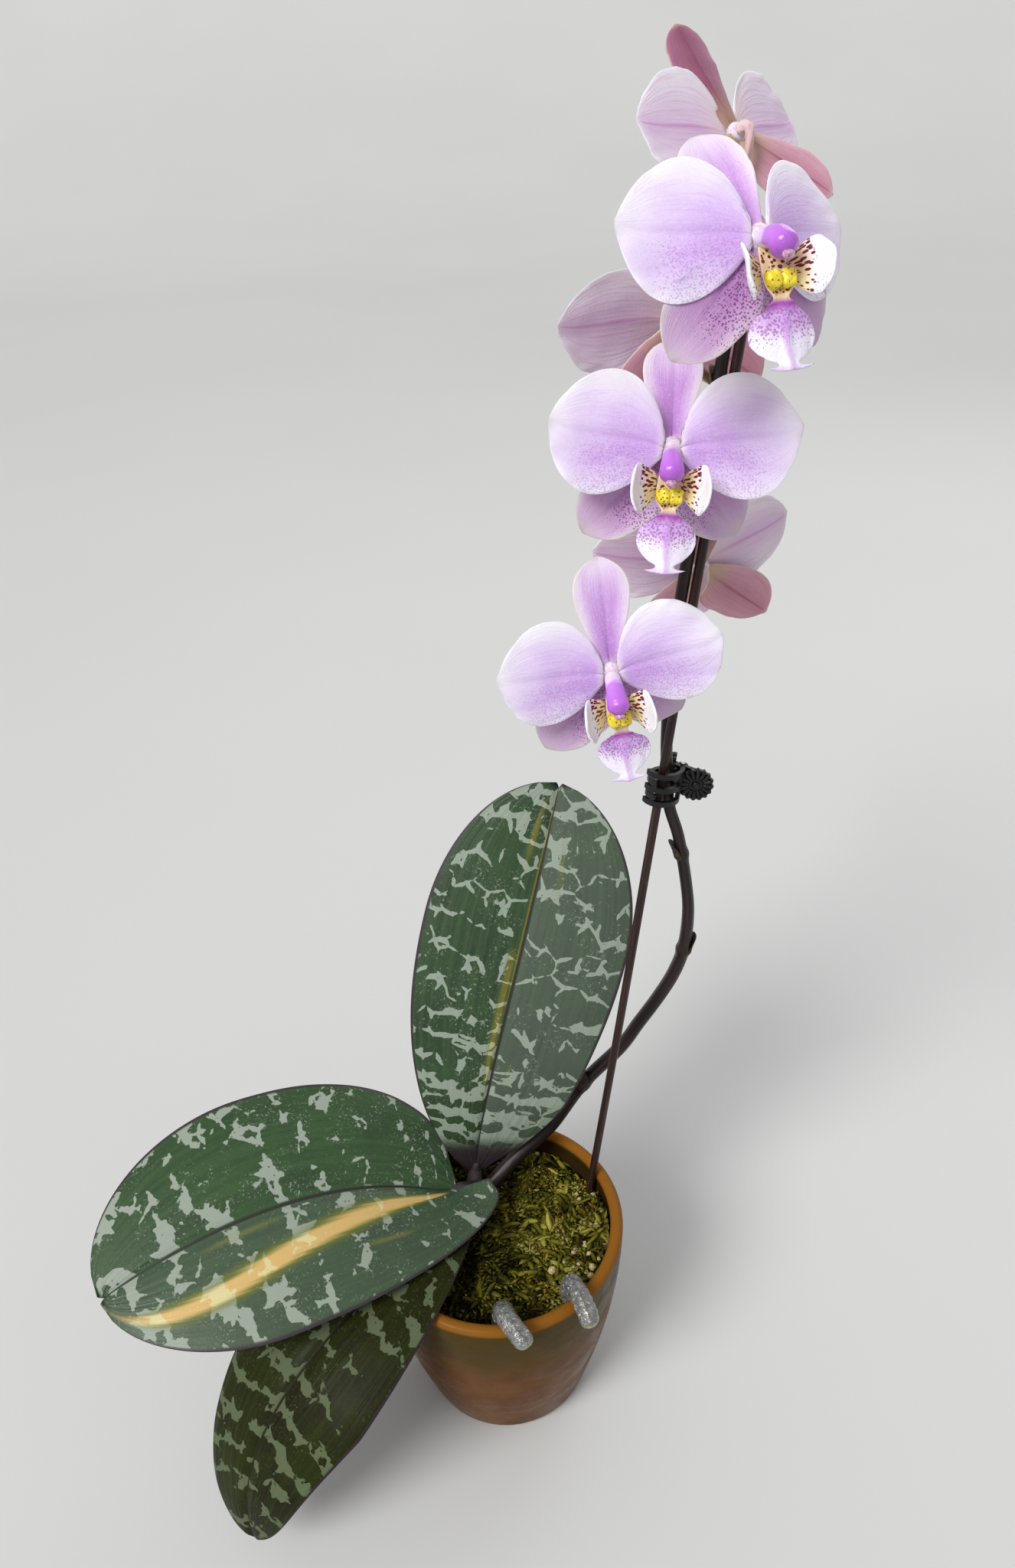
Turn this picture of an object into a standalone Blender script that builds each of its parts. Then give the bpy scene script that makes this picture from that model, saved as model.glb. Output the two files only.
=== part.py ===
# Potted moth orchid: three mottled leaves and a flower spike of six blooms, clipped to a
# stake, in a glazed pot with moss on top of the potting mix.
# Lengths are in millimetres and angles in degrees; add_object() turns them into metres.
# The origin is the middle of the pot's base, +Z is up, and the front of the plant is -Y.
import math

import bmesh
import bpy
import numpy as np
from mathutils import Matrix, Vector

MM = 0.001
GAP = 0.3
CAP_RADIUS = 0.9
WELD = 0.001

# Pot and what fills it
POT_HEIGHT = 92.0
POT_RIM_RADIUS = 50.0
POT_BASE_RADIUS = 34.0
POT_BULGE = 1.75
POT_LIP = 5.0
POT_WALL = 4.5
POT_FLOOR = 7.0
POT_FOOT_ROUND = 2.0
MIX_TOP = 70.0
INNER_HEIGHTS = (9.5, 30.0, 50.0, MIX_TOP, 86.5)
POT_CORNER = 2.5
POT_SIDES = 36
MOSS_TOP = 78.0
MOSS_CROWN_RISE = 5.0
MOSS_CROWN_SPREAD = 18.0
MOSS_LUMP = 1.5
MOSS_JITTER = 0.7
MOSS_RINGS = 8

# Stem at the middle of the plant, from which the leaves, roots and spike grow
STEM_AT = (-10.0, 11.0)
STEM_BOTTOM = 62.0
STEM_PROFILE = ((6.0, STEM_BOTTOM), (8.5, 72.0), (9.0, 82.0), (8.4, 89.0), (6.8, 94.5), (4.6, 99.5),
                (2.2, 102.5))
STEM_TOP = 103.0

# Leaves. path holds the four control points of the midrib, up_base and up_tip the way its
# upper face looks; half_width is the widest half, at the fraction widest_at of the length.
LEAF_THICKNESS = 2.0
LEAF_CELLS = (12, 6)
TIP_SHARE = 0.05
LEAVES = {
    "leaf_tall": {
        "path": ((-8.5, 23.0, 93.0), (-3.5, 14.0, 146.0), (12.0, 38.0, 175.0), (32.5, 66.0, 251.0)),
        "up_base": (0.14, -0.95, 0.29), "up_tip": (-0.21, -0.94, 0.26),
        "half_width": 40.0, "widest_at": 0.72, "base_share": 0.09, "tip_power": 2.3,
        "fold_base": 3.0, "fold_tip": 8.5, "droop": 0.11, "lobe_near": 0.0, "lobe_far": 0.0,
        "notch": 3.1,
    },
    "leaf_left": {
        "path": ((-16.0, 9.0, 99.5), (-24.5, 4.0, 99.5), (-62.5, 5.5, 134.0), (-141.5, -41.0, 114.0)),
        "up_base": (0.0, -0.19, 0.98), "up_tip": (-0.18, -0.5, 0.85),
        "half_width": 46.5, "widest_at": 0.72, "base_share": 0.09, "tip_power": 2.4,
        "fold_base": 19.0, "fold_tip": 6.0, "droop": 0.14, "lobe_near": 18.3, "lobe_far": 2.0,
        "notch": 1.9,
    },
    "leaf_low": {
        "path": ((-12.0, 4.0, 88.0), (-39.0, -34.5, 114.0), (-105.5, -73.0, 82.5), (-97.0, -80.0, 16.0)),
        "up_base": (-0.08, -0.21, 0.98), "up_tip": (-0.44, -0.56, 0.7),
        "half_width": 32.0, "widest_at": 0.555, "base_share": 0.09, "tip_power": 1.2,
        "fold_base": 12.0, "fold_tip": 2.0, "droop": 0.24, "lobe_near": 0.0, "lobe_far": 3.9,
        "notch": -3.7,
    },
}

# Stake and spike. The spike rises to the right of the stake, crosses behind it in the clip,
# and runs up its left side between the two heights of SPIKE_BESIDE.
STAKE_RADIUS = 1.5
STAKE_PATH = ((32.4, 15.6, 38.0), (38.4, 17.3, 84.0), (51.6, 21.7, 179.0), (67.3, 25.7, 300.0),
              (83.6, 29.6, 420.0))
SPIKE_OFFSET = (-3.8, 0.9, 0.0)
SPIKE_BESIDE = (341.0, 416.0)
SPIKE_FOOT = ((-5.5, 16.5, 86.0), (6.0, 24.0, 94.5), (17.2, 28.0, 103.7), (24.8, 30.0, 111.0),
              (37.3, 32.5, 130.0), (52.4, 33.7, 147.7), (59.7, 33.7, 160.6), (66.6, 32.8, 174.0),
              (72.1, 31.7, 187.0), (75.4, 30.8, 200.0), (76.3, 29.6, 216.0), (75.2, 28.6, 230.0),
              (71.5, 27.5, 252.5), (67.8, 27.4, 266.0), (66.9, 28.2, 276.0), (66.5, 29.4, 287.0),
              (66.5, 29.6, 299.0), (66.8, 29.6, 320.0))
SPIKE_END = ((81.4, 30.8, 434.0), (81.8, 32.5, 448.0), (80.8, 36.0, 459.0))
SPIKE_RADII = ((0.0, 3.1), (0.18, 2.6), (0.28, 2.5), (0.38, 2.1), (0.5, 2.0), (1.0, 1.75))
SPIKE_STEP = 12.0
NODE_SWELL = 0.5
BRACT_LENGTH = 6.0
LOWER_NODES = (130.0, 200.0, 246.0)

# Roots that come out of the moss and rest on the rim
ROOT_RADIUS = 3.5
ROOTS = {
    "root_left": ((-1.0, -36.0, 69.0), (0.2, -39.0, 80.0), (0.8, -40.5, 90.0), (1.1, -42.0, 93.6),
                  (1.9, -44.6, 95.6), (3.6, -47.9, 96.1), (5.9, -51.3, 95.8), (8.2, -54.2, 94.8),
                  (9.8, -56.0, 93.0)),
    "root_right": ((25.2, -28.6, 69.0), (26.2, -30.3, 80.0), (26.7, -31.0, 89.5), (27.1, -32.6, 93.6),
                   (28.0, -35.3, 95.5), (29.3, -38.4, 96.0), (30.8, -42.2, 96.0), (32.0, -46.0, 95.0),
                   (33.2, -49.6, 92.4)),
}

# Blooms. Each is drawn lying in its own plane, x to its right, y up, z out of its face, and
# is then turned and set in place. node is the height on the spike where its stalk leaves, and
# leaves is the way that it leaves, seen from above. petals and sepals give how far the right
# and left one lean forward or back.
BLADE_THICKNESS = 0.8
PETAL_CELLS = (6, 4)
SEPAL_CELLS = (5, 2)
PETAL_UPPER = ((2.0, 1.5), (1.0, 27.0), (22.0, 24.0), (33.5, 6.5))
PETAL_LOWER = ((2.0, -1.5), (12.0, -15.0), (32.0, -20.0), (33.5, 6.5))
DORSAL_SIDE = ((1.9, 1.0), (4.0, 12.0), (16.0, 30.0), (0.0, 34.8))
LATERAL_SIDE = ((1.9, 1.0), (6.0, 10.0), (17.5, 27.0), (0.0, 34.4))
LATERAL_ANGLE = 138.0
LATERAL_SKEW = -2.5
PETAL_LIFT = 0.6
SEPAL_DROP = -1.2
HEART_RADIUS = 3.4
STALK_RADIUS = 1.2
STALK_REACH = 7.0
STALK_APPROACH = 13.0
BLOOMS = (
    {"at": (46.0, 9.2, 327.3), "yaw": 0, "pitch": 5, "roll": 8, "size": 1.0,
     "node": 322.0, "leaves": -150, "petals": (1, 4), "dorsal": (2, -2), "sepals": (24, 10)},
    {"at": (78.5, 52.3, 342.2), "yaw": 194, "pitch": 18, "roll": -7, "size": 1.0,
     "node": 333.0, "leaves": 85, "petals": (14, 6), "dorsal": (12, 0), "sepals": (14, 6)},
    {"at": (62.4, 11.8, 391.7), "yaw": -7, "pitch": 16, "roll": -3, "size": 1.0,
     "node": 374.0, "leaves": -130, "petals": (0, 6), "dorsal": (32, 2), "sepals": (25, 13)},
    {"at": (68.4, 50.9, 417.3), "yaw": 198, "pitch": 22, "roll": -13, "size": 1.0,
     "node": 404.0, "leaves": 130, "petals": (4, 8), "dorsal": (12, 0), "sepals": (14, 14)},
    {"at": (78.8, -4.8, 444.3), "yaw": 10, "pitch": 26, "roll": 1, "size": 1.0,
     "node": 430.0, "leaves": -100, "petals": (-36, -8), "dorsal": (27, 12), "sepals": (32, 6)},
    {"at": (82.6, 51.5, 461.5), "yaw": 212, "pitch": -29, "roll": 1, "size": 0.9,
     "node": 453.0, "leaves": 85, "petals": (-4, 8), "dorsal": (-7, -13), "sepals": (5, 14)},
)

# Lip and column of a bloom, in the bloom's own frame
LIP_PATH = ((0.0, -3.1, 1.9), (0.0, -8.0, 3.9), (0.0, -13.0, 5.8), (0.0, -17.0, 6.5),
            (0.0, -19.0, 6.6), (0.0, -22.0, 6.6), (0.0, -25.5, 6.6), (0.0, -28.6, 6.9),
            (0.0, -30.6, 7.3), (0.0, -32.4, 8.0))
LIP_WIDTHS = (2.2, 3.0, 3.4, 2.0, 5.4, 8.2, 7.4, 4.4, 2.3, 5.6)
LOBE_ROOT = (3.4, -9.5, 4.4)
LOBE_REACH = 12.5
LOBE_SPREAD = 33.0
LOBE_HALF_HEIGHT = 6.0
LOBE_CURL = 1.2
CALLUS_AT = (0.0, -12.2, 7.6)
CALLUS_SIZE = (3.6, 2.6, 2.3)
COLUMN_PATH = ((0.0, 0.6, 2.5), (0.0, 0.5, 3.4), (0.0, -0.6, 6.0), (0.0, -3.2, 9.8), (0.0, -6.6, 12.4),
               (0.0, -8.2, 13.2))
COLUMN_RADII = (2.6, 2.6, 2.6, 3.1, 3.3, 2.0)

# Clip that holds the spike to the stake, in its own frame: x from the middle of the claws
# to the hinge, y to the back, z along the stake.
CLIP_HEIGHT = 276.4
CLIP_CENTRE = (1.5, 1.7)
CLIP_TURN = 35.0
CLAW_OVAL = (5.7, 4.7)
CLAW_THICK = 1.4
CLAW_TALL = 1.9
CLAW_SPACING = 5.2
CLAW_ARC = (40.0, 205.0)
CLAW_FLARE = 0.8
PLATE_ARC = (34.0, 64.0)
WEB_THICK = (1.2, 1.4)
HINGE_AT = 7.4
KNUCKLE_RADIUS = 1.9
FRONT_KNUCKLES = ((-5.2, -3.7), (3.7, 5.2))
BACK_KNUCKLES = ((-3.4, -1.6), (1.6, 3.4))
PIN_RADIUS = 0.7
PIN_LENGTH = 11.6
LEVER_ANGLE = 42.0
LEVER_OUT = 3.0
DISC_AT = 5.0
DISC_RADIUS = 5.7
DISC_THICK = 1.4
DISC_RIBS = 16
RIB_DEPTH = 0.35
SPRING_WIRE = 0.3
SPRING_TURNS = 2.5


def clear_scene():
    for old in list(bpy.data.objects):
        bpy.data.objects.remove(old, do_unlink=True)


def make_material(name, colour, roughness, metallic=0.0):
    made = bpy.data.materials.new(name)
    made.use_nodes = True
    shader = made.node_tree.nodes["Principled BSDF"]
    shader.inputs["Base Color"].default_value = (*colour, 1.0)
    shader.inputs["Roughness"].default_value = roughness
    shader.inputs["Metallic"].default_value = metallic
    return made


def add_object(name, verts, faces, material=None):
    """An object from points in millimetres and faces given as point numbers."""
    mesh = bpy.data.meshes.new(name)
    mesh.from_pydata([tuple(float(c) * MM for c in v) for v in verts], [], faces)
    mesh.validate()
    mesh.shade_smooth()
    mesh.set_sharp_from_angle(angle=math.radians(40.0))
    obj = bpy.data.objects.new(name, mesh)
    bpy.context.scene.collection.objects.link(obj)
    if material:
        mesh.materials.append(material)
    return obj


def add_frame(name, place, axes):
    """An empty at a place in millimetres, turned to three axes given as a matrix's columns."""
    frame = bpy.data.objects.new(name, None)
    frame.empty_display_size = 10 * MM
    frame.location = [float(c) * MM for c in place]
    frame.rotation_euler = Matrix(axes.tolist()).to_euler()
    bpy.context.scene.collection.objects.link(frame)
    return frame


def face_outwards(obj):
    work = bmesh.new()
    work.from_mesh(obj.data)
    bmesh.ops.recalc_face_normals(work, faces=work.faces)
    work.to_mesh(obj.data)
    work.free()


def smooth_path(points, step):
    """Points about step apart on a Catmull-Rom curve through the given points."""
    pts = np.array(points, float)
    ends = np.vstack([2 * pts[0] - pts[1], pts, 2 * pts[-1] - pts[-2]])
    out = []
    for k in range(len(pts) - 1):
        a, b, c, d = ends[k:k + 4]
        count = max(1, round(float(np.linalg.norm(c - b)) / step))
        for i in range(count):
            t = i / count
            out.append(0.5 * (2 * b + (c - a) * t + (2 * a - 5 * b + 4 * c - d) * t * t
                              + (3 * b - a - 3 * c + d) * t ** 3))
    out.append(pts[-1])
    return np.array(out)


def bezier(points, t):
    """Points at the fractions t on a cubic Bezier curve."""
    p = np.array(points, float)
    t = np.asarray(t, float)[:, None]
    return (1 - t) ** 3 * p[0] + 3 * (1 - t) ** 2 * t * p[1] + 3 * (1 - t) * t * t * p[2] + t ** 3 * p[3]


def unit(rows):
    rows = np.asarray(rows, float)
    return rows / np.linalg.norm(rows, axis=-1, keepdims=True)


def spin_matrix(axis, degrees):
    return np.array(Matrix.Rotation(math.radians(degrees), 3, axis))


def tube(name, path, radii, material=None, grow=0.0):
    """A round rod along a path, as a curve with a bevel and filled caps."""
    curve = bpy.data.curves.new(name, "CURVE")
    curve.dimensions = "3D"
    curve.bevel_depth = MM
    curve.bevel_resolution = 2
    curve.use_fill_caps = True
    spline = curve.splines.new("POLY")
    spline.points.add(len(path) - 1)
    for point, place, radius in zip(spline.points, path, radii):
        point.co = (*(float(c) * MM for c in place), 1.0)
        point.radius = float(radius) + grow
    obj = bpy.data.objects.new(name, curve)
    bpy.context.scene.collection.objects.link(obj)
    if material:
        curve.materials.append(material)
    return obj


def as_mesh_object(source, name, material=None):
    """The evaluated mesh of an object as a new object, its caps welded on, the source removed."""
    graph = bpy.context.evaluated_depsgraph_get()
    mesh = bpy.data.meshes.new_from_object(source.evaluated_get(graph), depsgraph=graph)
    mesh.name = name
    work = bmesh.new()
    work.from_mesh(mesh)
    bmesh.ops.remove_doubles(work, verts=work.verts, dist=WELD * MM)
    work.to_mesh(mesh)
    work.free()
    bpy.data.objects.remove(source, do_unlink=True)
    obj = bpy.data.objects.new(name, mesh)
    bpy.context.scene.collection.objects.link(obj)
    if material:
        mesh.materials.clear()
        mesh.materials.append(material)
    return obj


def join_all(name, base, pieces, material, solver="EXACT"):
    """One closed solid from a base and the pieces that grow out of it."""
    group = bpy.data.collections.new(name + "_pieces")
    for piece in pieces:
        group.objects.link(piece)
    union = base.modifiers.new("join", "BOOLEAN")
    union.operation = "UNION"
    union.operand_type = "COLLECTION"
    union.collection = group
    union.solver = solver
    joined = as_mesh_object(base, name, material)
    for piece in pieces:
        bpy.data.objects.remove(piece, do_unlink=True)
    bpy.data.collections.remove(group)
    return joined


def cut_by(target, cutter, solver="EXACT"):
    """Cuts a hidden guide out of a target, and leaves both as they are."""
    cutter.hide_render = True
    cutter.display_type = "WIRE"
    cut = target.modifiers.new("cut", "BOOLEAN")
    cut.operation = "DIFFERENCE"
    cut.object = cutter
    cut.solver = solver


def blade(name, grid, thickness, material=None):
    """A thin closed blade from a grid of points, split into triangles alike on both faces."""
    rows, columns = grid.shape[:2]
    faces = []
    for i in range(rows - 1):
        for j in range(columns - 1):
            a = i * columns + j
            b, c, d = a + 1, a + columns + 1, a + columns
            faces += [(a, b, c), (a, c, d)] if j < (columns - 1) / 2 else [(a, b, d), (b, c, d)]
    obj = add_object(name, grid.reshape(-1, 3), faces, material)
    solid = obj.modifiers.new("thickness", "SOLIDIFY")
    solid.thickness = thickness * MM
    solid.offset = 0.0
    return obj


def lathe(name, profile, sides, centre=(0.0, 0.0), material=None):
    """Turns (radius, height) points round Z, with a cap at the profile's two ends."""
    count = len(profile)
    turns = np.linspace(0.0, 2 * math.pi, sides, endpoint=False)
    verts = [(centre[0] + r * math.cos(a), centre[1] + r * math.sin(a), z)
             for a in turns for r, z in profile]
    faces = []
    for s in range(sides):
        here, there = s * count, (s + 1) % sides * count
        faces += [(here + k, there + k, there + k + 1, here + k + 1) for k in range(count - 1)]
    faces.append(tuple(s * count for s in range(sides)))
    faces.append(tuple(s * count + count - 1 for s in range(sides)))
    obj = add_object(name, verts, faces, material)
    face_outwards(obj)
    return obj


def pot_outer(z):
    share = min(max(z / POT_HEIGHT, 0.0), 1.0)
    return POT_BASE_RADIUS + (POT_RIM_RADIUS - POT_BASE_RADIUS) * (1 - (1 - share) ** POT_BULGE)


def pot_inner(z):
    """Inside radius of the wall, which runs straight between its profile's heights."""
    return float(np.interp(z, INNER_HEIGHTS, [pot_outer(h) - POT_WALL for h in INNER_HEIGHTS]))


def make_pot(material):
    lip = POT_LIP / 2
    lip_middle = (POT_RIM_RADIUS - lip, POT_HEIGHT - lip)
    outer = [(pot_outer(z), z) for z in np.linspace(POT_FOOT_ROUND * 1.6, POT_HEIGHT - lip * 1.4, 6)]
    arc = [(lip_middle[0] + lip * math.cos(a), lip_middle[1] + lip * math.sin(a))
           for a in np.radians((0, 45, 90, 135, 180))]
    inner = [(pot_inner(z), z) for z in reversed(INNER_HEIGHTS)]
    floor = [(inner[-1][0] - POT_CORNER, POT_FLOOR), (CAP_RADIUS, POT_FLOOR)]
    foot = [(CAP_RADIUS, 0.0), (POT_BASE_RADIUS - POT_FOOT_ROUND, 0.0),
            (POT_BASE_RADIUS - 0.3, POT_FOOT_ROUND * 0.45)]
    return lathe("pot", foot + outer + arc + inner + floor, POT_SIDES, material=material)


def make_mix(material):
    side = [(pot_inner(z) - GAP, z) for z in INNER_HEIGHTS if z <= MIX_TOP]
    foot = [(CAP_RADIUS, POT_FLOOR + GAP), (side[0][0] - POT_CORNER, POT_FLOOR + GAP)]
    top = [(CAP_RADIUS, MIX_TOP)]
    return lathe("potting_mix", foot + side + top, POT_SIDES, material=material)


def moss_height(x, y):
    """Top of the moss: low waves, with a rise round the stem."""
    away = (x - STEM_AT[0]) ** 2 + (y - STEM_AT[1]) ** 2
    crown = MOSS_CROWN_RISE * np.exp(-away / MOSS_CROWN_SPREAD ** 2)
    waves = np.sin(0.33 * x + 1.1) * np.cos(0.29 * y) + 0.8 * np.sin(0.61 * x - 0.43 * y + 0.5)
    return MOSS_TOP + crown + MOSS_LUMP * waves


def make_moss(material):
    rings, sectors = MOSS_RINGS, POT_SIDES
    jitter = np.random.default_rng(5).uniform(-MOSS_JITTER, MOSS_JITTER, (rings, sectors))
    verts = [(0.0, 0.0, float(moss_height(0.0, 0.0)))]
    for i in range(1, rings + 1):
        for s in range(sectors):
            angle = 2 * math.pi * (s + 0.5 * (i % 2)) / sectors
            reach = pot_inner(MOSS_TOP) * i / rings
            top = float(moss_height(reach * math.cos(angle), reach * math.sin(angle))) + jitter[i - 1, s]
            radius = min(reach, pot_inner(top) - GAP)
            verts.append((radius * math.cos(angle), radius * math.sin(angle), top))
    for s in range(sectors):
        angle = 2 * math.pi * s / sectors
        radius = pot_inner(MIX_TOP + GAP) - GAP
        verts.append((radius * math.cos(angle), radius * math.sin(angle), MIX_TOP + GAP))
    faces = [(0, 1 + s, 1 + (s + 1) % sectors) for s in range(sectors)]
    for i in range(rings):
        for s in range(sectors):
            a, b = 1 + i * sectors + s, 1 + i * sectors + (s + 1) % sectors
            faces.append((a, a + sectors, b + sectors, b))
    faces.append(tuple(1 + rings * sectors + s for s in reversed(range(sectors))))
    obj = add_object("moss", verts, faces, material)
    face_outwards(obj)
    return obj


def make_stem(name, material=None, grow=0.0):
    profile = [(r + grow, z) for r, z in STEM_PROFILE]
    profile[0] = (profile[0][0], STEM_BOTTOM - grow)
    profile.append((CAP_RADIUS + grow, STEM_TOP + grow))
    return lathe(name, profile, 16, STEM_AT, material)


def leaf_grid(leaf, cells):
    """Midrib on a Bezier curve, with a half width that swells and closes, a fold and a droop."""
    rows = np.linspace(0.0, 1.0, cells[0] + 1)
    u = 0.5 * rows + 0.25 * (1 - np.cos(math.pi * rows))
    v = np.linspace(-1.0, 1.0, cells[1] + 1)
    p = np.array(leaf["path"], float)
    along = bezier(p, u)
    ahead = unit(bezier(p, u + 1e-3) - bezier(p, u - 1e-3))
    up = unit(leaf["up_base"]) * (1 - u[:, None]) + unit(leaf["up_tip"]) * u[:, None]
    face = unit(up - (up * ahead).sum(1, keepdims=True) * ahead)
    across = np.cross(ahead, face)
    rise_part = np.clip((leaf["widest_at"] - u) / leaf["widest_at"], 0, 1)
    fall_part = np.clip((u - leaf["widest_at"]) / (1 - leaf["widest_at"]), 0, 1)
    share = leaf["base_share"]
    swell = np.where(u < leaf["widest_at"], share + (1 - share) * (1 - rise_part ** 2),
                     np.sqrt(1 - fall_part ** leaf["tip_power"]))
    half = np.maximum(leaf["half_width"] * swell, TIP_SHARE * leaf["half_width"])
    fold = np.radians(leaf["fold_base"] + (leaf["fold_tip"] - leaf["fold_base"]) * u)
    out = v[None, :] * half[:, None]
    lift = np.abs(out) * np.sin(fold)[:, None] - leaf["droop"] * out ** 2 / leaf["half_width"]
    lobe = np.where(v > 0, leaf["lobe_far"], leaf["lobe_near"])[None, :]
    back = lobe * np.abs(v)[None, :] ** 1.5 * ((1 - u) ** 4)[:, None]
    tip = leaf["notch"] * np.abs(v)[None, :] ** 0.7 * (np.clip((u - 0.8) / 0.2, 0, 1) ** 2)[:, None]
    side = out * np.cos(fold)[:, None]
    return (along[:, None] + side[..., None] * across[:, None] + lift[..., None] * face[:, None]
            + (tip - back)[..., None] * ahead[:, None])


def stake_points():
    return smooth_path(STAKE_PATH, 40.0)


def stake_at(z):
    pts = smooth_path(STAKE_PATH, 5.0)
    return np.array([np.interp(z, pts[:, 2], pts[:, 0]), np.interp(z, pts[:, 2], pts[:, 1]), z])


def spike_points():
    """The spike's middle line, from the stem up to the topmost bloom."""
    beside = [stake_at(z) + SPIKE_OFFSET for z in np.linspace(*SPIKE_BESIDE, 4)]
    return smooth_path([*SPIKE_FOOT, *beside, *SPIKE_END], SPIKE_STEP)


def spike_at(z):
    pts = spike_points()
    return np.array([np.interp(z, pts[:, 2], pts[:, 0]), np.interp(z, pts[:, 2], pts[:, 1]), z])


def spike_radius(z):
    pts = spike_points()
    share = (z - pts[0, 2]) / (pts[-1, 2] - pts[0, 2])
    return float(np.interp(share, *zip(*SPIKE_RADII)))


def make_spike(material):
    """The spike, swollen a little at each node, with a small bract there."""
    path = spike_points()
    nodes = list(LOWER_NODES) + [bloom["node"] for bloom in BLOOMS[:-1]]
    nearest = {int(np.argmin(np.abs(path[:, 2] - z))) for z in nodes}
    radii = [spike_radius(z) + (NODE_SWELL if k in nearest else 0.0) for k, z in enumerate(path[:, 2])]
    radii[-1] *= 0.7
    rod = tube("spike_rod", path, radii)
    bracts = []
    for k, z in enumerate(LOWER_NODES):
        foot, radius = spike_at(z), spike_radius(z)
        ahead = unit(spike_at(z + 4) - spike_at(z))
        out = unit(np.cross(ahead, (0, 0, 1) if k % 2 else (0.3, -1, 0)))
        line = [foot - ahead * 1.0, foot + ahead * BRACT_LENGTH * 0.4 + out * radius * 0.5,
                foot + ahead * BRACT_LENGTH + out * (radius + 0.6)]
        bracts.append(tube("bract", line, (radius + 0.2, radius * 0.7, 0.5)))
    rod = as_mesh_object(rod, "spike_rod")
    bracts = [as_mesh_object(b, "bract") for b in bracts]
    return join_all("spike", rod, bracts, material)


def root_radii(count):
    radii = [ROOT_RADIUS] * count
    radii[-1] = ROOT_RADIUS * 0.45
    radii[-2] = ROOT_RADIUS * 0.9
    return radii


def make_root(name, points, material=None, grow=0.0):
    path = smooth_path(points, 4.5)
    path[0, 2] -= grow
    return tube(name, path, root_radii(len(path)), material, grow)


def bloom_turn(bloom):
    """Turns a bloom's own axes to the world: it looks along -Y before its yaw and pitch."""
    upright = np.array(((1, 0, 0), (0, 0, -1), (0, 1, 0)), float)
    return (spin_matrix("Z", bloom["yaw"]) @ spin_matrix("X", -bloom["pitch"]) @ upright
            @ spin_matrix("Z", bloom["roll"]))


def place_bloom(points, bloom):
    """Points of a bloom's own frame in the world."""
    return np.array(points, float) @ bloom_turn(bloom).T * bloom["size"] + np.array(bloom["at"])


def tip_rows(cells):
    """Fractions along a petal, closer together towards its tip."""
    rows = np.linspace(0.0, 1.0, cells + 1)
    return 0.985 * (1 - (1 - rows) ** 1.35)


def petal_grid(side, lean, cells):
    """A broad petal between two curved margins, a little dished; side is 1 right, -1 left."""
    t = tip_rows(cells[0])
    v = np.linspace(-1.0, 1.0, cells[1] + 1)[None, :, None]
    upper, lower = bezier(PETAL_UPPER, t)[:, None], bezier(PETAL_LOWER, t)[:, None]
    flat = upper * (1 + v) / 2 + lower * (1 - v) / 2
    x, y = flat[..., 0], flat[..., 1]
    z = PETAL_LIFT + 2.4 * (x / 34.0) ** 2 - 1.2 * v[..., 0] ** 2 * np.sin(math.pi * t)[:, None]
    turned = np.stack([x, y, z], -1) @ spin_matrix("Y", -lean).T
    turned[..., 0] *= side
    return turned if side > 0 else turned[:, ::-1]


def sepal_grid(side_curve, angle, back, cells):
    """A sepal between a margin and its mirror image, cupped, turned by angle about z."""
    t = tip_rows(cells[0])
    v = np.linspace(-1.0, 1.0, cells[1] + 1)[None, :]
    margin = bezier(side_curve, t)
    x = -v * margin[:, :1]
    y = margin[:, 1:2] + 0 * v
    z = SEPAL_DROP + 1.3 * v ** 2 * np.sin(math.pi * t)[:, None]
    grid = np.stack([x, y, z], -1) @ spin_matrix("X", -back).T
    return grid @ spin_matrix("Z", angle).T


def make_petals(name, bloom, material):
    """Three sepals and two petals round the bloom's heart."""
    right, left = bloom["petals"]
    back_right, back_left = bloom["sepals"]
    dorsal_back, dorsal_lean = bloom["dorsal"]
    grids = (petal_grid(1, right, PETAL_CELLS), petal_grid(-1, left, PETAL_CELLS),
             sepal_grid(DORSAL_SIDE, dorsal_lean, dorsal_back, SEPAL_CELLS),
             sepal_grid(LATERAL_SIDE, -LATERAL_ANGLE, back_right, SEPAL_CELLS),
             sepal_grid(LATERAL_SIDE, LATERAL_ANGLE + LATERAL_SKEW, back_left, SEPAL_CELLS))
    blades = [blade("blade", grid * bloom["size"], BLADE_THICKNESS) for grid in grids]
    blades = [as_mesh_object(b, "blade") for b in blades]
    heart = ball("heart", (0.0, 0.0, SEPAL_DROP), (HEART_RADIUS,) * 3, bloom["size"])
    return join_all(name, heart, blades, material, "MANIFOLD")


def ball(name, centre, size, scale, subdivisions=2):
    """A ball of triangles, stretched to size, in a bloom's frame."""
    work = bmesh.new()
    bmesh.ops.create_icosphere(work, subdivisions=subdivisions, radius=1.0)
    verts = np.array([v.co for v in work.verts]) * size + centre
    faces = [tuple(v.index for v in f.verts) for f in work.faces]
    work.free()
    return add_object(name, verts * scale, faces)


def lobe_grid(side):
    """A side lobe of the lip: an ear that stands forward and spreads outward."""
    s = np.linspace(0.0, 1.0, 5)[:, None]
    t = np.linspace(-1.0, 1.0, 4)[None, :]
    spread = math.radians(LOBE_SPREAD)
    reach = LOBE_REACH * s
    half = LOBE_HALF_HEIGHT * (0.55 + 0.75 * np.sin(math.pi * 0.62 * s)) * (1 - 0.35 * s ** 3)
    x = LOBE_ROOT[0] + reach * math.sin(spread) + 0 * t - LOBE_CURL * t ** 2 * s
    y = LOBE_ROOT[1] + t * half - 1.5 * s
    z = LOBE_ROOT[2] + reach * math.cos(spread) + 0 * t
    grid = np.stack([side * x, y, z], -1)
    return grid if side > 0 else grid[:, ::-1]


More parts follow.
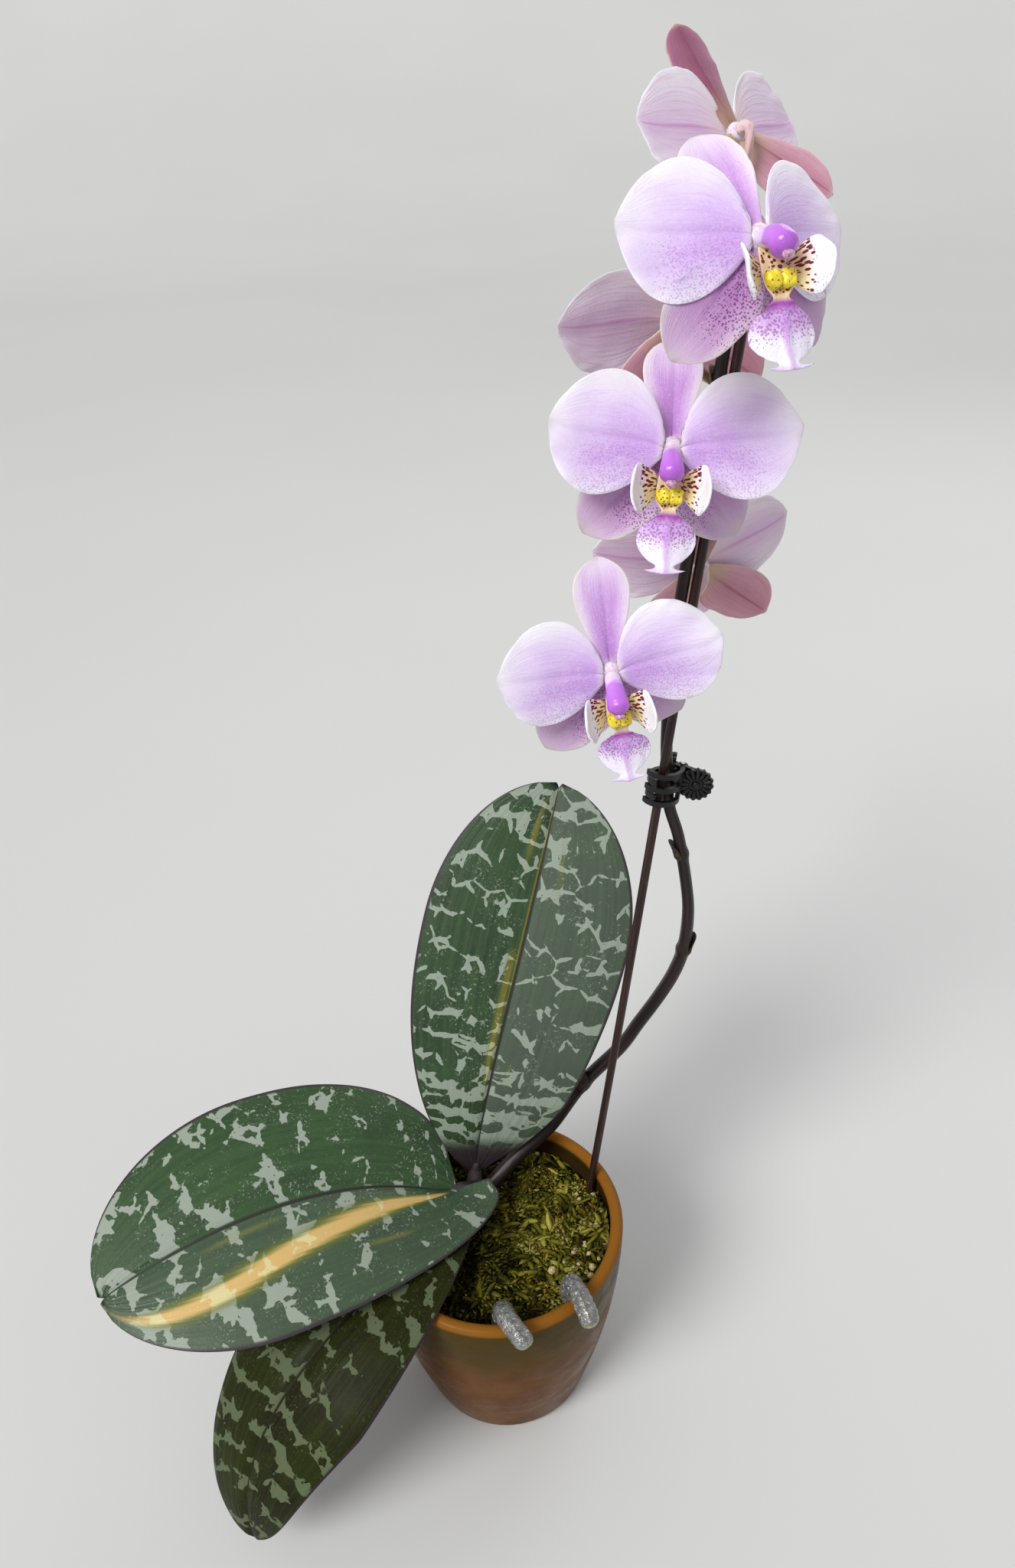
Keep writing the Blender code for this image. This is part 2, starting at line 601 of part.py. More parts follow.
def make_lip(name, bloom, material):
    """The lip: a floor that narrows and widens to an anchor-shaped tip, two ears and a callus."""
    path, widths = np.array(LIP_PATH), np.array(LIP_WIDTHS)
    x = np.array((-1.0, 0.0, 1.0))[None, :] * widths[:, None]
    grid = np.stack([x, path[:, 1:2] + 0 * x, path[:, 2:3] - 0.06 * x ** 2], -1)
    scale = bloom["size"]
    floor = as_mesh_object(blade("floor", grid[:, ::-1] * scale, BLADE_THICKNESS), "floor")
    parts = [as_mesh_object(blade("ear", lobe_grid(side) * scale, BLADE_THICKNESS), "ear")
             for side in (1, -1)]
    parts.append(ball("callus", CALLUS_AT, CALLUS_SIZE, scale, 1))
    return join_all(name, floor, parts, material, "MANIFOLD")


def make_column(name, bloom, material):
    scale = bloom["size"]
    return tube(name, np.array(COLUMN_PATH) * scale, np.array(COLUMN_RADII) * scale, material)


def make_stalk(name, bloom, material):
    """The bloom's stalk, from its node on the spike round to the back of its heart."""
    node = spike_at(bloom["node"])
    back = place_bloom(((0, 0, SEPAL_DROP - HEART_RADIUS - GAP), (0, 0, -STALK_APPROACH)), bloom)
    way = math.radians(bloom["leaves"])
    outward = np.array((math.cos(way), math.sin(way), 0.0))
    along = unit(spike_at(bloom["node"] + 3) - spike_at(bloom["node"] - 3))
    outward = unit(outward - (outward @ along) * along)
    start = node + outward * (spike_radius(bloom["node"]) + NODE_SWELL + GAP + 0.15)
    path = bezier((start, start + outward * STALK_REACH, back[1], back[0]), np.linspace(0, 1, 7))
    stalk = tube(name, path, np.linspace(STALK_RADIUS, STALK_RADIUS * 1.15, 7), material)
    stalk.data.bevel_resolution = 1
    return stalk


def clip_frame():
    """The clip's own axes in the world, and the middle of its claws."""
    low, high = stake_at(CLIP_HEIGHT - 5), stake_at(CLIP_HEIGHT + 5)
    up = unit(high - low)
    right = unit(np.array((1.0, 0.0, 0.0)) - up[0] * up)
    back = np.cross(up, right)
    centre = stake_at(CLIP_HEIGHT) + right * CLIP_CENTRE[0] + back * CLIP_CENTRE[1]
    turn = math.radians(CLIP_TURN)
    hinge_way = right * math.cos(turn) + back * math.sin(turn)
    back_way = np.cross(up, hinge_way)
    return centre, np.stack([hinge_way, back_way, up], 1)


def band(name, outline, low, high):
    """A solid with a flat outline in the clip's x and y, from one height to another."""
    count = len(outline)
    verts = [(x, y, z) for z in (low, high) for x, y in outline]
    faces = [tuple(range(count)), tuple(range(2 * count - 1, count - 1, -1))]
    faces += [(k, (k + 1) % count, (k + 1) % count + count, k + count) for k in range(count)]
    obj = add_object(name, verts, faces)
    face_outwards(obj)
    return obj


def claw_outline(side, start, end, steps, flare):
    """A curved strip along the claw oval, side 1 at the back and -1 at the front."""
    angles = np.radians(np.linspace(start, end, steps))
    out = np.linspace(0, 1, steps) ** 4 * flare
    inner, outer = [], []
    for a, f in zip(angles, out):
        for rim, half in ((inner, -CLAW_THICK / 2), (outer, CLAW_THICK / 2)):
            rim.append(((CLAW_OVAL[0] + half + f) * math.cos(a),
                        side * (CLAW_OVAL[1] + half + f) * math.sin(a)))
    return inner + outer[::-1]


def disc_outline():
    """A daisy outline: ribs round a disc, in the disc's own plane."""
    angles = np.linspace(0, 2 * math.pi, DISC_RIBS * 3, endpoint=False)
    radii = DISC_RADIUS + RIB_DEPTH * np.cos(DISC_RIBS * angles)
    return list(zip(radii * np.cos(angles), radii * np.sin(angles)))


def make_jaw(name, side, heights, knuckles, material):
    """One half of the clip: claws, the plate that joins them, knuckles, a lever and its disc."""
    lever = math.radians(LEVER_ANGLE)
    along = np.array((math.cos(lever), side * math.sin(lever)))
    outward = np.array((-math.sin(lever), side * math.cos(lever)))
    hinge = np.array((HINGE_AT, 0.0))
    top = max(abs(h) for h in heights) + CLAW_TALL / 2
    claw = claw_outline(side, *CLAW_ARC, 10, CLAW_FLARE)
    pieces = [band("claw", claw, h - CLAW_TALL / 2, h + CLAW_TALL / 2) for h in heights]
    plate = band("plate", claw_outline(side, *PLATE_ARC, 4, 0.0), -top + 0.05, top - 0.05)
    root = math.radians(CLAW_ARC[0])
    web_start = np.array((CLAW_OVAL[0] * math.cos(root), side * CLAW_OVAL[1] * math.sin(root)))
    disc_foot = hinge + along * DISC_AT + outward * (LEVER_OUT - DISC_THICK / 2 + 0.3)
    for low, high in knuckles:
        for target, width in zip((web_start, disc_foot), WEB_THICK):
            away = unit(target - hinge)
            across = np.array((-away[1], away[0])) * width / 2
            near = hinge + away * (KNUCKLE_RADIUS - 0.5)
            corners = [near - across, target - across, target + across, near + across]
            pieces.append(band("web", [tuple(c) for c in corners], low + 0.1, high - 0.1))
        turns = np.linspace(0, 2 * math.pi, 12, endpoint=False)
        ring = [(HINGE_AT + KNUCKLE_RADIUS * math.cos(a), KNUCKLE_RADIUS * math.sin(a)) for a in turns]
        pieces.append(band("knuckle", ring, low, high))
    middle = hinge + along * DISC_AT + outward * LEVER_OUT
    flat = disc_outline()
    faces = [tuple(range(len(flat))), tuple(range(2 * len(flat) - 1, len(flat) - 1, -1))]
    faces += [(k, (k + 1) % len(flat), (k + 1) % len(flat) + len(flat), k + len(flat))
              for k in range(len(flat))]
    verts = [(*(middle + along * x + outward * h), z) for h in (-DISC_THICK / 2, DISC_THICK / 2)
             for x, z in flat]
    disc = add_object("disc", verts, faces)
    face_outwards(disc)
    bore = rod_on_hinge("cut_" + name, PIN_RADIUS + GAP, PIN_LENGTH + 4)
    jaw = join_all(name, plate, pieces + [disc], material)
    cut_by(jaw, bore)
    return jaw, bore


def hold_at(obj, point):
    """Moves an object's origin to a point of its parent, and leaves its shape where it is."""
    place = Vector(point) * MM
    obj.data.transform(Matrix.Translation(-place))
    obj.location = place


def rod_on_hinge(name, radius, length, material=None):
    turns = np.linspace(0, 2 * math.pi, 10, endpoint=False)
    ring = [(HINGE_AT + radius * math.cos(a), radius * math.sin(a)) for a in turns]
    obj = band(name, ring, -length / 2, length / 2)
    if material:
        obj.data.materials.append(material)
    return obj


def make_spring(material):
    """A short coil round the pin, between the knuckles."""
    steps = 20
    turns = np.linspace(0, SPRING_TURNS * 2 * math.pi, steps)
    radius = PIN_RADIUS + GAP + SPRING_WIRE + 0.1
    coil = [(HINGE_AT + radius * math.cos(a), radius * math.sin(a), -0.95 + 1.9 * k / (steps - 1))
            for k, a in enumerate(turns)]
    spring = tube("clip_spring", coil, [SPRING_WIRE] * steps, material)
    spring.data.bevel_resolution = 1
    return spring


def make_clip(plastic, steel):
    spacing = CLAW_SPACING
    front = make_jaw("clip_jaw_front", -1, (-spacing, 0.0, spacing), FRONT_KNUCKLES, plastic)
    back = make_jaw("clip_jaw_back", 1, (-spacing / 2, spacing / 2), BACK_KNUCKLES, plastic)
    pin, spring = rod_on_hinge("clip_pin", PIN_RADIUS, PIN_LENGTH, steel), make_spring(steel)
    frame = add_frame("clip", *clip_frame())
    for made in (*front, *back, pin, spring):
        made.parent = frame
    hold_at(front[0], (HINGE_AT, 0.0, 0.0))


def make_pot_group(colours):
    """The pot, its filling and moss, with plain holes where the stem, roots and stake stand."""
    make_pot(colours["glaze"])
    mix, moss = make_mix(colours["mix"]), make_moss(colours["moss"])
    make_stem("stem_base", colours["stem"])
    stem_cut = make_stem("cut_stem", grow=GAP)
    stake = stake_points()
    tube("stake", stake, [STAKE_RADIUS] * len(stake), colours["stake"])
    sunk = [place for place in stake if place[2] < POT_HEIGHT + 40.0]
    sunk[0] = sunk[0] - (0.0, 0.0, GAP)
    stake_cut = tube("cut_stake", sunk, [STAKE_RADIUS] * len(sunk), grow=GAP)
    cutters = [stem_cut, as_mesh_object(stake_cut, "cut_stake")]
    for name, points in ROOTS.items():
        make_root(name, points, colours["root"])
        root_cut = make_root("cut_" + name, points, grow=GAP * 1.6)
        cutters.append(as_mesh_object(root_cut, "cut_" + name))
    for cutter in cutters:
        cut_by(mix, cutter, "MANIFOLD")
        cut_by(moss, cutter, "MANIFOLD")
    return stem_cut


def make_leaves(material, stem_cut):
    for name, leaf in LEAVES.items():
        made = blade(name, leaf_grid(leaf, LEAF_CELLS), LEAF_THICKNESS, material)
        cut_by(made, stem_cut)


def make_blooms(colours):
    for k, bloom in enumerate(BLOOMS, 1):
        frame = add_frame(f"bloom_{k}", bloom["at"], bloom_turn(bloom))
        for made in (make_petals(f"bloom_{k}_petals", bloom, colours["petal"]),
                     make_lip(f"bloom_{k}_lip", bloom, colours["lip"]),
                     make_column(f"bloom_{k}_column", bloom, colours["column"])):
            made.parent = frame
        make_stalk(f"bloom_{k}_stalk", bloom, colours["stalk"])


def main():
    clear_scene()
    colours = {
        "glaze": make_material("amber glaze", (0.36, 0.15, 0.03), 0.3),
        "mix": make_material("potting mix", (0.09, 0.055, 0.03), 0.95),
        "moss": make_material("moss", (0.17, 0.19, 0.03), 0.95),
        "stem": make_material("stem", (0.11, 0.09, 0.05), 0.6),
        "leaf": make_material("mottled leaf", (0.06, 0.11, 0.06), 0.4),
        "root": make_material("aerial root", (0.48, 0.48, 0.46), 0.5),
        "stake": make_material("stake", (0.03, 0.015, 0.012), 0.45),
        "spike": make_material("spike", (0.035, 0.02, 0.018), 0.5),
        "stalk": make_material("flower stalk", (0.42, 0.28, 0.27), 0.5),
        "petal": make_material("lilac petal", (0.72, 0.48, 0.76), 0.55),
        "lip": make_material("lip", (0.85, 0.74, 0.83), 0.5),
        "column": make_material("column", (0.5, 0.17, 0.66), 0.45),
        "plastic": make_material("black plastic", (0.012, 0.012, 0.013), 0.35),
        "steel": make_material("steel", (0.5, 0.5, 0.5), 0.35, 1.0),
    }
    stem_cut = make_pot_group(colours)
    make_leaves(colours["leaf"], stem_cut)
    cut_by(make_spike(colours["spike"]), stem_cut)
    make_clip(colours["plastic"], colours["steel"])
    make_blooms(colours)


main()
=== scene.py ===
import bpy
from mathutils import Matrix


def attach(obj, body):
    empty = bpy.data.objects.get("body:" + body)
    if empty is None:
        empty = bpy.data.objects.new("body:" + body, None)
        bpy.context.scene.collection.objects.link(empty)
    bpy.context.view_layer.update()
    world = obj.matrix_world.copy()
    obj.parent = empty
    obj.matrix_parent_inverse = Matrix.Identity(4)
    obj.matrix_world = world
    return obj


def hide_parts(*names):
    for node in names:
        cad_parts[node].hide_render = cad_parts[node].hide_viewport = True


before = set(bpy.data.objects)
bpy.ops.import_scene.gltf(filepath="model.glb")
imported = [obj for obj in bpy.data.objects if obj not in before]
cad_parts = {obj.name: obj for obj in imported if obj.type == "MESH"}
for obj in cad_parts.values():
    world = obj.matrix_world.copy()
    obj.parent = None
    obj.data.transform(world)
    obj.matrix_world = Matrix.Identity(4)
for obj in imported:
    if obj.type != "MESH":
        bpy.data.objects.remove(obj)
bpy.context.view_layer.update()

import math

import bmesh
import bpy
import numpy as np
from mathutils import Matrix, Vector

# A potted moth orchid. Lengths are in millimetres here and angles in degrees; +Z is up and the
# front of the plant is -Y. Each piece is worked out in place and its object stays at the origin.
mm = 0.001
up = np.array((0, 0, 1.0))
print("frame loaded")


# curves and small sums
def unit(rows):
    # each row divided by its own length
    rows = np.asarray(rows, float)
    return rows / np.maximum(np.linalg.norm(rows, axis=-1, keepdims=True), 1e-9)


def turnBy(axis, degrees):
    # right-handed turn about one axis, as a 3 x 3 matrix
    c, s = math.cos(math.radians(degrees)), math.sin(math.radians(degrees))
    a, b = {"X": (1, 2), "Y": (2, 0), "Z": (0, 1)}[axis]
    turn = np.eye(3)
    turn[a, a] = turn[b, b] = c
    turn[a, b], turn[b, a] = -s, s
    return turn


def turnsOf(count):
    return np.linspace(0, 2 * math.pi, count, endpoint=False)


def bezier(points, t):
    # cubic Bezier: the four points weighted by (1-t)^3, 3(1-t)^2 t, 3(1-t) t^2 and t^3
    a, b, c, d = np.array(points, float)
    t = np.asarray(t, float)[:, None]
    return (1 - t) ** 3 * a + 3 * (1 - t) ** 2 * t * b + 3 * (1 - t) * t * t * c + t ** 3 * d


def curveThrough(points, count):
    # Catmull-Rom curve through the points, then spaced evenly along its length
    pts = np.array(points, float)
    ends = np.vstack([2 * pts[0] - pts[1], pts, 2 * pts[-1] - pts[-2]])
    s = np.linspace(0, len(pts) - 1, 12 * len(pts))
    k = np.minimum(s.astype(int), len(pts) - 2)
    t = (s - k)[:, None]
    a, b, c, d = ends[k], ends[k + 1], ends[k + 2], ends[k + 3]
    fine = 0.5 * (2 * b + (c - a) * t + (2 * a - 5 * b + 4 * c - d) * t * t
                  + (3 * b - a - 3 * c + d) * t ** 3)
    run = runAlong(fine[:, :3])
    even = np.linspace(0, run[-1], count)
    return np.stack([np.interp(even, run, column) for column in fine.T], 1)


def curveWith(points, values, count):
    # the same curve with one more value carried along it, as its points and its values
    rows = curveThrough([(*point, value) for point, value in zip(points, values)], count)
    return rows[:, :3], rows[:, 3]


def runAlong(points):
    # how far each point lies along a line, measured from its first point
    return np.concatenate([[0], np.cumsum(np.linalg.norm(np.diff(points, axis=0), axis=1))])


def ripple(x, y, seed, size, waves=5):
    # sum of a few sine waves whose ways and phases come from the seed; size is the longest wave
    dice = np.random.default_rng(seed)
    total = np.zeros(np.broadcast(x, y).shape)
    for n in range(waves):
        way, phase = dice.uniform(0, 2 * math.pi, 2)
        turn = (x * math.cos(way) + y * math.sin(way)) * 2 * math.pi * (1 + 0.7 * n) / size
        total = total + np.sin(turn + phase) / (1 + 0.6 * n)
    return total / waves


def closing(v, power):
    # 1 in the middle and 0 at the margin: sqrt(1 - |v|^power)
    return np.sqrt(np.clip(1 - np.abs(v) ** power, 0, 1))


# parts of a mesh, as whole arrays
def gridFaces(rows, columns, wrap=False):
    # the four corner numbers of each cell of a grid
    across = np.arange(columns if wrap else columns - 1)
    i, j = np.meshgrid(np.arange(rows - 1), across, indexing="ij")
    a, b = i * columns + j, i * columns + (j + 1) % columns
    return np.stack([a, a + columns, b + columns, b], -1).reshape(-1, 4)


def ringFaces(rings, sides, turned=False):
    # cells between rings of points, and triangles from the end rings to two poles that come after
    # all the rings; turned swaps the side that they look to
    turn = np.arange(sides)
    after, last = (turn + 1) % sides, (rings - 1) * sides
    quads = gridFaces(rings, sides, True)
    tris = np.vstack([np.stack([turn, after, 0 * turn + rings * sides], 1),
                      np.stack([last + after, last + turn, 0 * turn + rings * sides + 1], 1)])
    return (quads[:, ::-1], tris[:, ::-1]) if turned else (quads, tris)


def partOf(points, quads, tris=None, uv=0.0, paint=0, tone=0.0):
    # what makePiece takes: points with their UV numbers and tones, and faces with their paints
    points = points.reshape(-1, 3)
    tris = np.empty((0, 3), int) if tris is None else tris
    return {"points": points, "quads": quads, "tris": tris, "uv": uv * np.ones((len(points), 2)),
            "paint": paint * np.ones(len(quads) + len(tris), int),
            "tone": tone * np.ones(len(points))}


def ringPart(rings, poles, u, paint=0, turned=False):
    # rings of points closed by a pole at each end; u is the place of each ring along the part
    count, sides = rings.shape[:2]
    v = np.tile(np.arange(sides) / sides, count)
    uv = np.vstack([np.stack([np.repeat(u, sides), v], 1), [[0, 0.5], [1, 0.5]]])
    points = np.vstack([rings.reshape(-1, 3), poles])
    return partOf(points, *ringFaces(count, sides, turned), uv, paint)


def sheetPart(grid, half, u, v, front, back):
    # closed blade: the grid moved out along its normals on both faces, with its rim shared.
    # half is the half thickness, which has to be nothing on the rim; u and v go to the UV map.
    rows, columns = grid.shape[:2]
    normal = unit(np.cross(np.gradient(grid, axis=0), np.gradient(grid, axis=1)))
    half = np.array(half, float) * np.ones((rows, columns))
    half[0], half[-1], half[:, 0], half[:, -1] = 0, 0, 0, 0
    upper, lower = grid + normal * half[..., None], grid - normal * half[..., None]
    below = np.arange(rows * columns).reshape(rows, columns)
    inner = np.arange((rows - 2) * (columns - 2)).reshape(rows - 2, -1)
    below[1:-1, 1:-1] = rows * columns + inner
    cells = gridFaces(rows, columns)
    uv = np.stack([u * np.ones((rows, columns)), v * np.ones((rows, columns))], -1)
    return partOf(np.vstack([upper.reshape(-1, 3), lower[1:-1, 1:-1].reshape(-1, 3)]),
                  np.vstack([cells, below.ravel()[cells][:, ::-1]]),
                  uv=np.vstack([uv.reshape(-1, 2), uv[1:-1, 1:-1].reshape(-1, 2)]),
                  paint=np.repeat([front, back], len(cells)))


def tubePart(path, radii, sides=16, paint=0, flat=1.0, across=1.0):
    # round tube: rings of radius r(s) square to the path, with a pole at each end. flat squeezes
    # it across, and across may vary the radius with the angle, as rows of factors.
    path = np.asarray(path, float)
    ahead = unit(np.gradient(path, axis=0))
    level = np.cross(ahead[0], ahead[-1])
    level = unit(level if np.linalg.norm(level) > 0.15 else np.cross(ahead[0], (0.31, 0.9, 0.3)))
    side = unit(np.cross(ahead, level))
    over = np.cross(side, ahead)
    turns = turnsOf(sides)
    reach = np.asarray(radii, float)[:, None] * (across * np.ones(sides))
    rings = (path[:, None] + (reach * np.cos(turns))[..., None] * side[:, None]
             + (reach * np.sin(turns) * flat)[..., None] * over[:, None])
    poles = [path[0] - ahead[0] * radii[0] * 0.3, path[-1] + ahead[-1] * radii[-1] * 0.3]
    return ringPart(rings, poles, np.linspace(0, 1, len(path)), paint)


def lathePart(profile, sides, centre=(0, 0), wobble=lambda z, turn: 0.0):
    # surface of revolution: (radius, height) points turned round Z, closed by a pole at each end
    profile, turns = np.array(profile, float), turnsOf(sides)
    height = profile[:, 1:2] * np.ones(sides)
    radius = profile[:, :1] + wobble(height, turns[None])
    rings = np.stack([centre[0] + radius * np.cos(turns), centre[1] + radius * np.sin(turns),
                      height], -1)
    run = runAlong(profile)
    return ringPart(rings, [(*centre, profile[0, 1]), (*centre, profile[-1, 1])], run / run[-1],
                    turned=True)


def ballPart(centre, size, paint=0, rows=10, sides=14, seed=None, rough=0.0, square=1.0):
    # ellipsoid from two poles, with its radius pushed in and out by ripples where a seed is given;
    # square below 1 raises each direction cosine to that power, which makes it boxier
    lat, lon = np.linspace(0, math.pi, rows + 1)[1:-1, None], turnsOf(sides)[None]
    way = np.stack([np.sin(lat) * np.cos(lon), np.sin(lat) * np.sin(lon),
                    np.cos(lat) + 0 * lon], -1)
    way = np.sign(way) * np.abs(way) ** square
    if seed is not None:
        x, y, z = np.moveaxis(way, -1, 0)
        way = way * (1 + rough * ripple(x * 2 + z, y * 2 - z, seed, 2.2))[..., None]
    return ringPart(way * size + centre, np.array([up, -up]) * size + centre,
                    np.linspace(0, 1, rows - 1), paint)


def makePiece(name, parts, paints, body, slot, nodes=()):
    # one mesh from several parts, its UV map, tones and paints set as whole arrays
    faces, start = [], 0
    for part in parts:
        faces += (part["quads"] + start).tolist() + (part["tris"] + start).tolist()
        start += len(part["points"])
    points, uv, paint, tone = (np.concatenate([part[key] for part in parts])
                               for key in ("points", "uv", "paint", "tone"))
    mesh = bpy.data.meshes.new(name)
    mesh.from_pydata((points * mm).tolist(), [], faces)
    corners = np.empty(len(mesh.loops), np.int32)
    mesh.loops.foreach_get("vertex_index", corners)
    blade = mesh.uv_layers.new(name="blade")
    blade.data.foreach_set("uv", uv[corners].astype(np.float32).ravel())
    tones = mesh.attributes.new("tone", "FLOAT", "POINT")
    tones.data.foreach_set("value", tone.astype(np.float32))
    for material in paints:
        mesh.materials.append(material)
    mesh.polygons.foreach_set("material_index", paint.astype(np.int32))
    mesh.shade_smooth()
    mesh.update()
    dress(addObject(name, mesh), body, slot, nodes)


def addObject(name, data):
    made = bpy.data.objects.new(name, data)
    bpy.context.scene.collection.objects.link(made)
    return made


def dress(piece, body, slot, nodes=()):
    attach(piece, body)
    if nodes:
        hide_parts(*nodes)


def paintNode(node, material):
    # a CAD node keeps its own mesh and only takes on this material
    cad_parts[node].data.materials.clear()
    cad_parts[node].data.materials.append(material)


# materials
class flow:
    # a value inside a material; + - * / and ** with another such value or a number add Math nodes
    def __init__(self, socket):
        self.socket = socket

    def __add__(self, other):
        return sums("ADD", self, other)

    def __sub__(self, other):
        return sums("SUBTRACT", self, other)

    def __rsub__(self, other):
        return sums("SUBTRACT", other, self)

    def __mul__(self, other):
        return sums("MULTIPLY", self, other)

    def __truediv__(self, other):
        return sums("DIVIDE", self, other)

    def __pow__(self, other):
        return sums("POWER", self, other)


def put(socket, value):
    # link a value to a socket, or set a number or a colour on it
    if isinstance(value, flow):
        socket.id_data.links.new(value.socket, socket)
    elif hasattr(socket.default_value, "__len__") and not hasattr(value, "__len__"):
        socket.default_value = [value] * len(socket.default_value)
    elif hasattr(value, "__len__") and len(value) == 3 and len(socket.default_value) == 4:
        socket.default_value = (*value, 1.0)
    else:
        socket.default_value = value


def addNode(kind, inputs, output=0, material=None, **settings):
    # one node with its settings and inputs, in that material or where its inputs come from; the
    # value that comes out of it is given back
    if material:
        tree = material.node_tree
    else:
        tree = next(value.socket.id_data for value in inputs.values() if isinstance(value, flow))
    made = tree.nodes.new("ShaderNode" + kind)
    for key, value in settings.items():
        setattr(made, key, value)
    for key, value in inputs.items():
        put(made.inputs[key], value)
    return flow(made.outputs[output])


def sums(how, a, b=0.0):
    return addNode("Math", {0: a, 1: b}, operation=how)


def mixed(share, a, b, how="MIX"):
    return addNode("Mix", {0: share, 6: a, 7: b}, 2, data_type="RGBA", blend_type=how)


def layered(base, *layers):
    # colours laid one over another, each by its share
    for share, colour in layers:
        base = mixed(share, base, colour)
    return base


def step(value, low, high, fromValue=0.0, toValue=1.0):
    # smooth step from fromValue at low to toValue at high
    inputs = dict(enumerate((value, low, high, fromValue, toValue)))
    return addNode("MapRange", inputs, interpolation_type="SMOOTHSTEP")


def ramp(value, stops):
    made = addNode("ValToRGB", {0: value})
    band = made.socket.node.color_ramp
    while len(band.elements) < len(stops):
        band.elements.new(0.5)
    for element, (spot, colour) in zip(band.elements, stops):
        element.position, element.color = spot, (*colour, 1.0)
    return made


def objectPlace(material, scale=(1, 1, 1)):
    # object coordinates in millimetres, stretched by scale
    at = addNode("TexCoord", {}, "Object", material)
    return addNode("Mapping", {"Vector": at, "Scale": [1000 * s for s in scale]})


def axisOf(at, number):
    # x, y or z of a place, for the number 0, 1 or 2
    return addNode("SeparateXYZ", {0: at}, number)


def bladePlace(material):
    # the two UV numbers of a blade or tube: along it, and across or round it
    at = addNode("UVMap", {}, 0, material, uv_map="blade")
    return axisOf(at, 0), axisOf(at, 1)


def place(x, y=0.0, z=0.0):
    return addNode("CombineXYZ", {0: x, 1: y, 2: z})


def noise(at, scale=1.0, detail=2.0, rough=0.5, twist=0.0):
    return addNode("TexNoise", {"Vector": at, "Scale": scale, "Detail": detail,
                                "Roughness": rough, "Distortion": twist})


def cells(at, scale=1.0, jitter=1.0, output="Distance", feature="F1"):
    return addNode("TexVoronoi", {"Vector": at, "Scale": scale, "Randomness": jitter}, output,
                   feature=feature)


def spreadOf(v):
    # how far a point lies from the midrib: 0 there, 1 at the margin
    return sums("ABSOLUTE", v * 2.0 - 1.0)


def larger(a, b):
    return sums("MAXIMUM", a, b)


def lighter(colour, times):
    return [times * c for c in colour]


def newPaint(name, roughness=0.5, **sockets):
    # a Principled material whose plain numbers are set on its own sockets
    material = bpy.data.materials.new(name)
    material.use_nodes = True
    shader = material.node_tree.nodes["Principled BSDF"]
    for key, value in {"Roughness": roughness, **sockets}.items():
        put(shader.inputs[key.replace("_", " ")], value)
    return material


def finished(material, base, height=None, depth=0.0, strength=1.0, rough=None, coat=False):
    # the colour, the bump with its depth in millimetres and the roughness joined to the shader
    shader = material.node_tree.nodes["Principled BSDF"]
    put(shader.inputs["Base Color"], base)
    if rough:
        put(shader.inputs["Roughness"], rough)
    if height:
        bump = addNode("Bump", {"Strength": strength, "Distance": depth * mm, "Height": height})
        for normal in ("Normal", "Coat Normal") if coat else ("Normal",):
            put(shader.inputs[normal], bump)
    return material


def grainyPaint(name, roughness, scale, stops, **sockets):
    # fine noise that tints the surface and roughens it a little
    material = newPaint(name, roughness, Subsurface_Weight=0.15, **sockets)
    grain = noise(objectPlace(material), scale, 3, 0.6)
    return finished(material, ramp(grain, stops), grain, 0.2)


# camera, floor and light; lengths are in metres here
view = {"place": (0.0136, -0.2901, 0.4803), "lens": 26.02, "sensor": 36.0, "clip": (0.01, 50.0),
        "right": (0.9984, -0.0299, -0.0471), "down": (-0.0558, -0.5350, -0.8430),
        "ahead": (0.0, 0.8443, -0.5358)}


def addCamera():
    data = bpy.data.cameras.new("photoCamera")
    data.lens, data.sensor_width, data.sensor_fit = view["lens"], view["sensor"], "AUTO"
    data.clip_start, data.clip_end = view["clip"]
    camera = addObject("photoCamera", data)
    columns = np.stack([view["right"], -np.array(view["down"]), -np.array(view["ahead"])], 1)
    turn = Matrix(columns.tolist()).to_quaternion().to_matrix().to_4x4()
    camera.matrix_world = Matrix.Translation(view["place"]) @ turn
    bpy.context.scene.camera = camera


lamps = {
    "windowLight": {"kind": "SUN", "at": (-0.9, -0.95, 1.5), "size": math.radians(24),
                    "power": 2.0, "colour": (1.0, 0.99, 0.975)},
    "softBox": {"kind": "AREA", "at": (-0.55, -0.75, 1.25), "size": 0.55, "power": 3.5,
                "colour": (1.0, 1.0, 1.0)},
    "backLight": {"kind": "AREA", "at": (0.7, 1.0, 1.1), "size": 0.9, "power": 3.0,
                  "colour": (1.0, 1.0, 1.0)},
}
studio = {"floorColour": (0.60, 0.605, 0.595), "aim": (0.02, 0.0, 0.27), "reach": 3.0,
          "bend": 5.0, "halfWidth": 12.0, "wall": 4.0, "sky": (0.97, 0.98, 1.0), "skyPower": 0.56}


def addLights():
    for name, lamp in lamps.items():
        data = bpy.data.lights.new(name, lamp["kind"])
        data.energy, data.color = lamp["power"], lamp["colour"]
        if lamp["kind"] == "SUN":
            data.angle = lamp["size"]
        else:
            data.shape, data.size = "DISK", lamp["size"]
        light = addObject(name, data)
        light.location = lamp["at"]
        aim = Vector(studio["aim"]) - Vector(lamp["at"])
        light.rotation_euler = aim.to_track_quat("-Z", "Y").to_euler()
    # colours come out as the materials give them
    bpy.context.scene.view_settings.view_transform = "Standard"
    world = bpy.data.worlds.new("paleStudio")
    world.use_nodes = True
    put(world.node_tree.nodes["Background"].inputs[0], studio["sky"])
    put(world.node_tree.nodes["Background"].inputs[1], studio["skyPower"])
    bpy.context.scene.world = world


